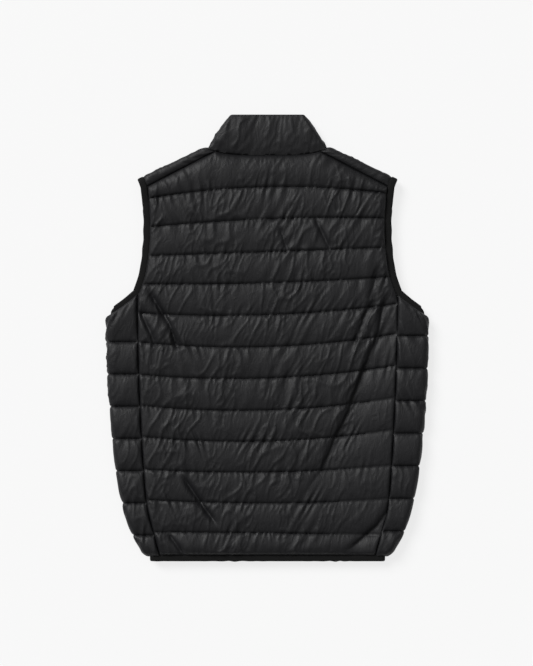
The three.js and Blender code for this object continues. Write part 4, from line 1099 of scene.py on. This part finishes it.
def armhole_band(name, side):
    """Down the back's edge, round the underarm on the front's, up the front's and over the
    shoulder fold."""
    y = np.linspace(SEAM_AT_ARM[1], UNDERARM_ALONG, 60)
    down = np.stack([-across_of(back_half(y), y), y], -1)
    across = np.linspace(UNDERARM[0][0], UNDERARM[-1][0], 60)
    under = np.stack([across, curve(UNDERARM, across)], -1)
    y = np.linspace(ARM_CORNER, FRONT_ARMHOLE[-1][0], 60)
    up = np.stack([across_of(curve(FRONT_ARMHOLE, y), y), y], -1)
    edge = even(np.concatenate([down, under[1:-1], up]), SECTION_PITCH)
    way = unit(np.gradient(edge, axis=0))
    normal = left_of(way)
    start, ahead = edge - normal * BAND_LAP, edge + normal * ARM_BAND
    at, out = wrap_side(start[:, 0], start[:, 1])
    over = unit(wrap_side(ahead[:, 0], ahead[:, 1])[0] - at)
    axis, _ = shoulder_axis(np.array(1.0))
    end = unit(SHOULDER_TIP - NECK_POINT)
    angle = np.linspace(-0.5, 0.5, 12)[:, None] * np.pi
    tip_out = np.concatenate([SHOULDER_OUT * np.cos(angle), np.sin(angle)], 1)
    tip_at = np.concatenate([axis - end * BAND_LAP, [MID]]) + tip_out * LAYER_GAP / 2
    tip_over = np.broadcast_to(np.append(end, 0.0), tip_out.shape)
    flip = np.array([side, 1, 1])
    parts = [np.concatenate(pair) * flip for pair in ((at, tip_at), (over, tip_over), (out, tip_out))]
    place = np.arange(len(edge))
    from_tip = np.append(np.minimum(place, place[::-1]) * SECTION_PITCH, np.zeros(len(tip_out)))
    thick = BAND_THICK + BAND_BULGE + TIP_BULK * smooth(1 - from_tip / TIP_REACH)
    return band(name, *parts, ARM_BAND + BAND_LAP, thick, True)


def hem_band():
    """From the zip, round the side, across the back and round to the zip again."""
    zip_edge = across_of(ZIP_HALF, 0.0)
    across = np.concatenate([np.linspace(zip_edge, FOLD_SPAN / 2, 80, endpoint=False),
                             np.linspace(FOLD_SPAN / 2, -FOLD_SPAN / 2, 16, endpoint=False),
                             np.linspace(-FOLD_SPAN / 2, -across_of(0.0, 0.0), 84)])
    at, out = wrap_side(across, np.zeros_like(across))
    flip = np.array([-1, 1, 1])
    at = np.concatenate([at, at[-2::-1] * flip])
    out = np.concatenate([out, out[-2::-1] * flip])
    # It starts at its lap over the panel, and its free edge is the hem.
    at = at + [0.0, HEM_BAND + BAND_LAP, 0.0]
    down = np.tile([0.0, -1.0, 0.0], (len(at), 1))
    thick = np.full(len(at), BAND_THICK + BAND_BULGE)
    return band("hem_elastic", at, down, out, HEM_BAND + BAND_LAP, thick, False)


arm_right, arm_right_length = armhole_band("armhole_elastic_right", 1)
arm_left, arm_left_length = armhole_band("armhole_elastic_left", -1)
hem, hem_length = hem_band()

# %% [markdown]
# ## Zip
#
# The zip lies underneath, closed. Two woven tapes carry moulded teeth that interlock, and the
# slider sits at the top with its tab hanging down over the chain.

# %% Zip tapes and teeth
TAPE_INNER_HALF, TAPE_OUTER_HALF = 2.9, ZIP_HALF - GAP
TAPE_THICK, TAPE_BOTTOM, TAPE_TOP = 1.0, 4.0, COLLAR_FRONT_TOP - 2
CHAIN_BOTTOM, CHAIN_TOP, TOOTH_PITCH = 13.0, 668.0, 3.0
# A box's six faces, for corners numbered by x, y and z in binary.
BOX = [[0, 2, 3, 1], [4, 5, 7, 6], [0, 1, 5, 4], [2, 6, 7, 3], [0, 4, 6, 2], [1, 3, 7, 5]]


def zip_tape(name, side):
    """A flat tape beside the teeth."""
    corners = np.array([[side * x, y, ZIP_HEIGHT + z] for z in (-TAPE_THICK / 2, TAPE_THICK / 2)
                        for y in (TAPE_BOTTOM, TAPE_TOP) for x in (TAPE_INNER_HALF, TAPE_OUTER_HALF)])
    faces = [face if side > 0 else face[::-1] for face in BOX]
    return new_mesh(name, to_frame(corners), faces, TAPE, smooth_angle=30.0)


def zip_teeth():
    """Two rows of teeth that reach past the middle in turn: each has a broad foot on the tape, a
    neck and a head, drawn as a plan outline and given a thickness with a bevelled rim."""
    plan = np.array([[2.6, -0.85], [2.6, 0.85], [1.2, 0.75], [0.5, 0.4], [0.0, 0.62], [-0.75, 0.55],
                     [-0.95, 0.0], [-0.75, -0.55], [0.0, -0.62], [0.5, -0.4], [1.2, -0.75]])
    n = len(plan)
    inset = plan * 0.86
    heights = [(-1.3, inset), (-1.0, plan), (1.0, plan), (1.3, inset)]
    tooth = np.concatenate([np.column_stack([p, np.full(n, z)]) for z, p in heights])
    k = np.arange(n)
    walls = [[int(j * n + a), int((j + 1) * n + a), int((j + 1) * n + b), int(j * n + b)]
             for j in range(len(heights) - 1) for a, b in zip(k, np.roll(k, -1))]
    tooth_faces = walls + [k.tolist(), (k[::-1] + 3 * n).tolist()]
    number = int((CHAIN_TOP - CHAIN_BOTTOM) / TOOTH_PITCH)
    points, faces = [], []
    for side in (1, -1):
        y = CHAIN_BOTTOM + TOOTH_PITCH * (np.arange(number) + (0.25 if side > 0 else 0.75))
        row = tooth[None] * [side, 1, 1] + np.stack([0 * y, y, 0 * y + ZIP_HEIGHT], -1)[:, None]
        start = sum(len(p) for p in points)
        points.append(row.reshape(-1, 3))
        for copy in range(number):
            for face in tooth_faces:
                corner = [c + start + copy * len(tooth) for c in face]
                faces.append(corner if side > 0 else corner[::-1])
    points = to_frame(np.concatenate(points))
    piece = new_mesh("zip_teeth_closed", points, faces, TEETH, smooth_angle=40.0)
    print(f"zip: {2 * number} teeth")
    return piece


tape_right, tape_left = zip_tape("zip_tape_cloth_right", 1), zip_tape("zip_tape_cloth_left", -1)
teeth = zip_teeth()

# %% [markdown]
# ## Putting the vest together
#
# The panels, the collar, the bindings, the tapes and the teeth each stand for a solid, which is
# hidden. They and the stitches ride on the vest and keep their own materials; the slot listed for
# each is not used. The slider and the tab keep their solids, with a small bevel and a lacquered
# finish.

# %% Bodies, slots and soft pieces
FITTED = [
    (back, ["back"], "shell"), (left, ["front_left"], "shell"), (right, ["front_right"], "shell"),
    (collar, ["collar"], "shell"), (arm_left, ["armhole_binding_left"], "binding"),
    (arm_right, ["armhole_binding_right"], "binding"), (hem, ["hem_binding"], "binding"),
    (tape_left, ["zip_tape_left"], "tape"), (tape_right, ["zip_tape_right"], "tape"),
    (teeth, ["zip_chain"], "zip_teeth"), (back_thread, [], "shell"), (left_thread, [], "shell"),
    (right_thread, [], "shell"),
]
for piece, nodes, slot in FITTED:
    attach(piece, "vest")
    if nodes:
        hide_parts(*nodes)

METAL_BEVEL = 0.0002  # metres: the edge that tumbling leaves on die-cast zinc
for node in ("zip_slider", "zip_pull"):
    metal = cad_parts[node]
    metal.data.materials.clear()
    metal.data.materials.append(ZINC)
    bevel = metal.modifiers.new("rounded edges", "BEVEL")
    bevel.width, bevel.segments, bevel.limit_method = METAL_BEVEL, 2, "ANGLE"

# A binding's cut is its face beyond the panel and its edge. The lap over the panel isn't counted.
print("fitted:", len(FITTED), "pieces and the zip's slider and tab")

# %% [markdown]
# ## Studio
#
# The photograph looks straight down on the vest against a nearly white ground, under a broad soft
# light from the upper left that brings out the creases. Hardly a shadow shows round the vest, as on
# a table of opal acrylic that is lit from below.

# %% Floor, light and camera
FLOOR_SIZE, FLOOR_DROP = 12.0, 0.0004
WHITE = (1.0, 1.0, 1.0, 1.0)


def studio_floor():
    """A table of opal acrylic. Most of its brightness is the light from inside it, so a shadow on
    it stays faint. From below it's clear, so the vest's underside can be looked at."""
    half = FLOOR_SIZE / 2
    corners = np.array([[-half, -half, 0], [half, -half, 0], [half, half, 0], [-half, half, 0]])
    acrylic, tree, shader = new_material("backlit opal acrylic", 0x6E6E6E, 0.9,
                                         Emission_Color=WHITE, Emission_Strength=0.765)
    back_face = add(tree, "ShaderNodeNewGeometry").outputs["Backfacing"]
    clear = add(tree, "ShaderNodeBsdfTransparent").outputs["BSDF"]
    mix = add(tree, "ShaderNodeMixShader", {0: back_face, 1: shader.outputs["BSDF"], 2: clear})
    tree.links.new(mix.outputs["Shader"], tree.nodes["Material Output"].inputs["Surface"])
    floor = new_mesh("studio_floor", corners, [[0, 1, 2, 3]], acrylic)
    floor.location.z = -FLOOR_DROP


def far_light(name, direction, spread, strength):
    """A soft box so far away that it lights the floor evenly: a sun of that spread in degrees,
    shining from a direction."""
    data = bpy.data.lights.new(name, "SUN")
    data.energy, data.angle = strength, np.radians(spread)
    light = bpy.data.objects.new(name, data)
    light.rotation_euler = (-Vector(direction)).to_track_quat("-Z", "Y").to_euler()
    bpy.context.scene.collection.objects.link(light)


studio_floor()
far_light("key soft box", (-0.75, 0.75, 0.9), 28, 3.2)  # low enough to rake across the creases
far_light("top soft box", (0.1, 0.2, 1.0), 70, 0.5)  # opens the shade between the puffs
world = bpy.data.worlds.new("studio")
world.use_nodes = True
background = world.node_tree.nodes["Background"]
background.inputs["Color"].default_value = WHITE
background.inputs["Strength"].default_value = 0.21
scene = bpy.context.scene
scene.world = world
scene.view_settings.view_transform = "Standard"

# The photograph is 666 pixels high and shows 1.117 m at the height of the cloth. Its middle lies
# a little left of the vest's and above it.
FRAME_HEIGHT, LENS, SENSOR = 1.117, 85.0, 36.0
CLOTH_HEIGHT = 0.02
camera_data = bpy.data.cameras.new("studio camera")
camera_data.lens, camera_data.sensor_width = LENS, SENSOR
camera = bpy.data.objects.new("studio camera", camera_data)
camera.location = (-0.0017, 0.0084, FRAME_HEIGHT * LENS / SENSOR + CLOTH_HEIGHT)
scene.collection.objects.link(camera)
scene.camera = camera
print("lights:", len(bpy.data.lights), "camera height:", round(camera.location.z, 2), "m")
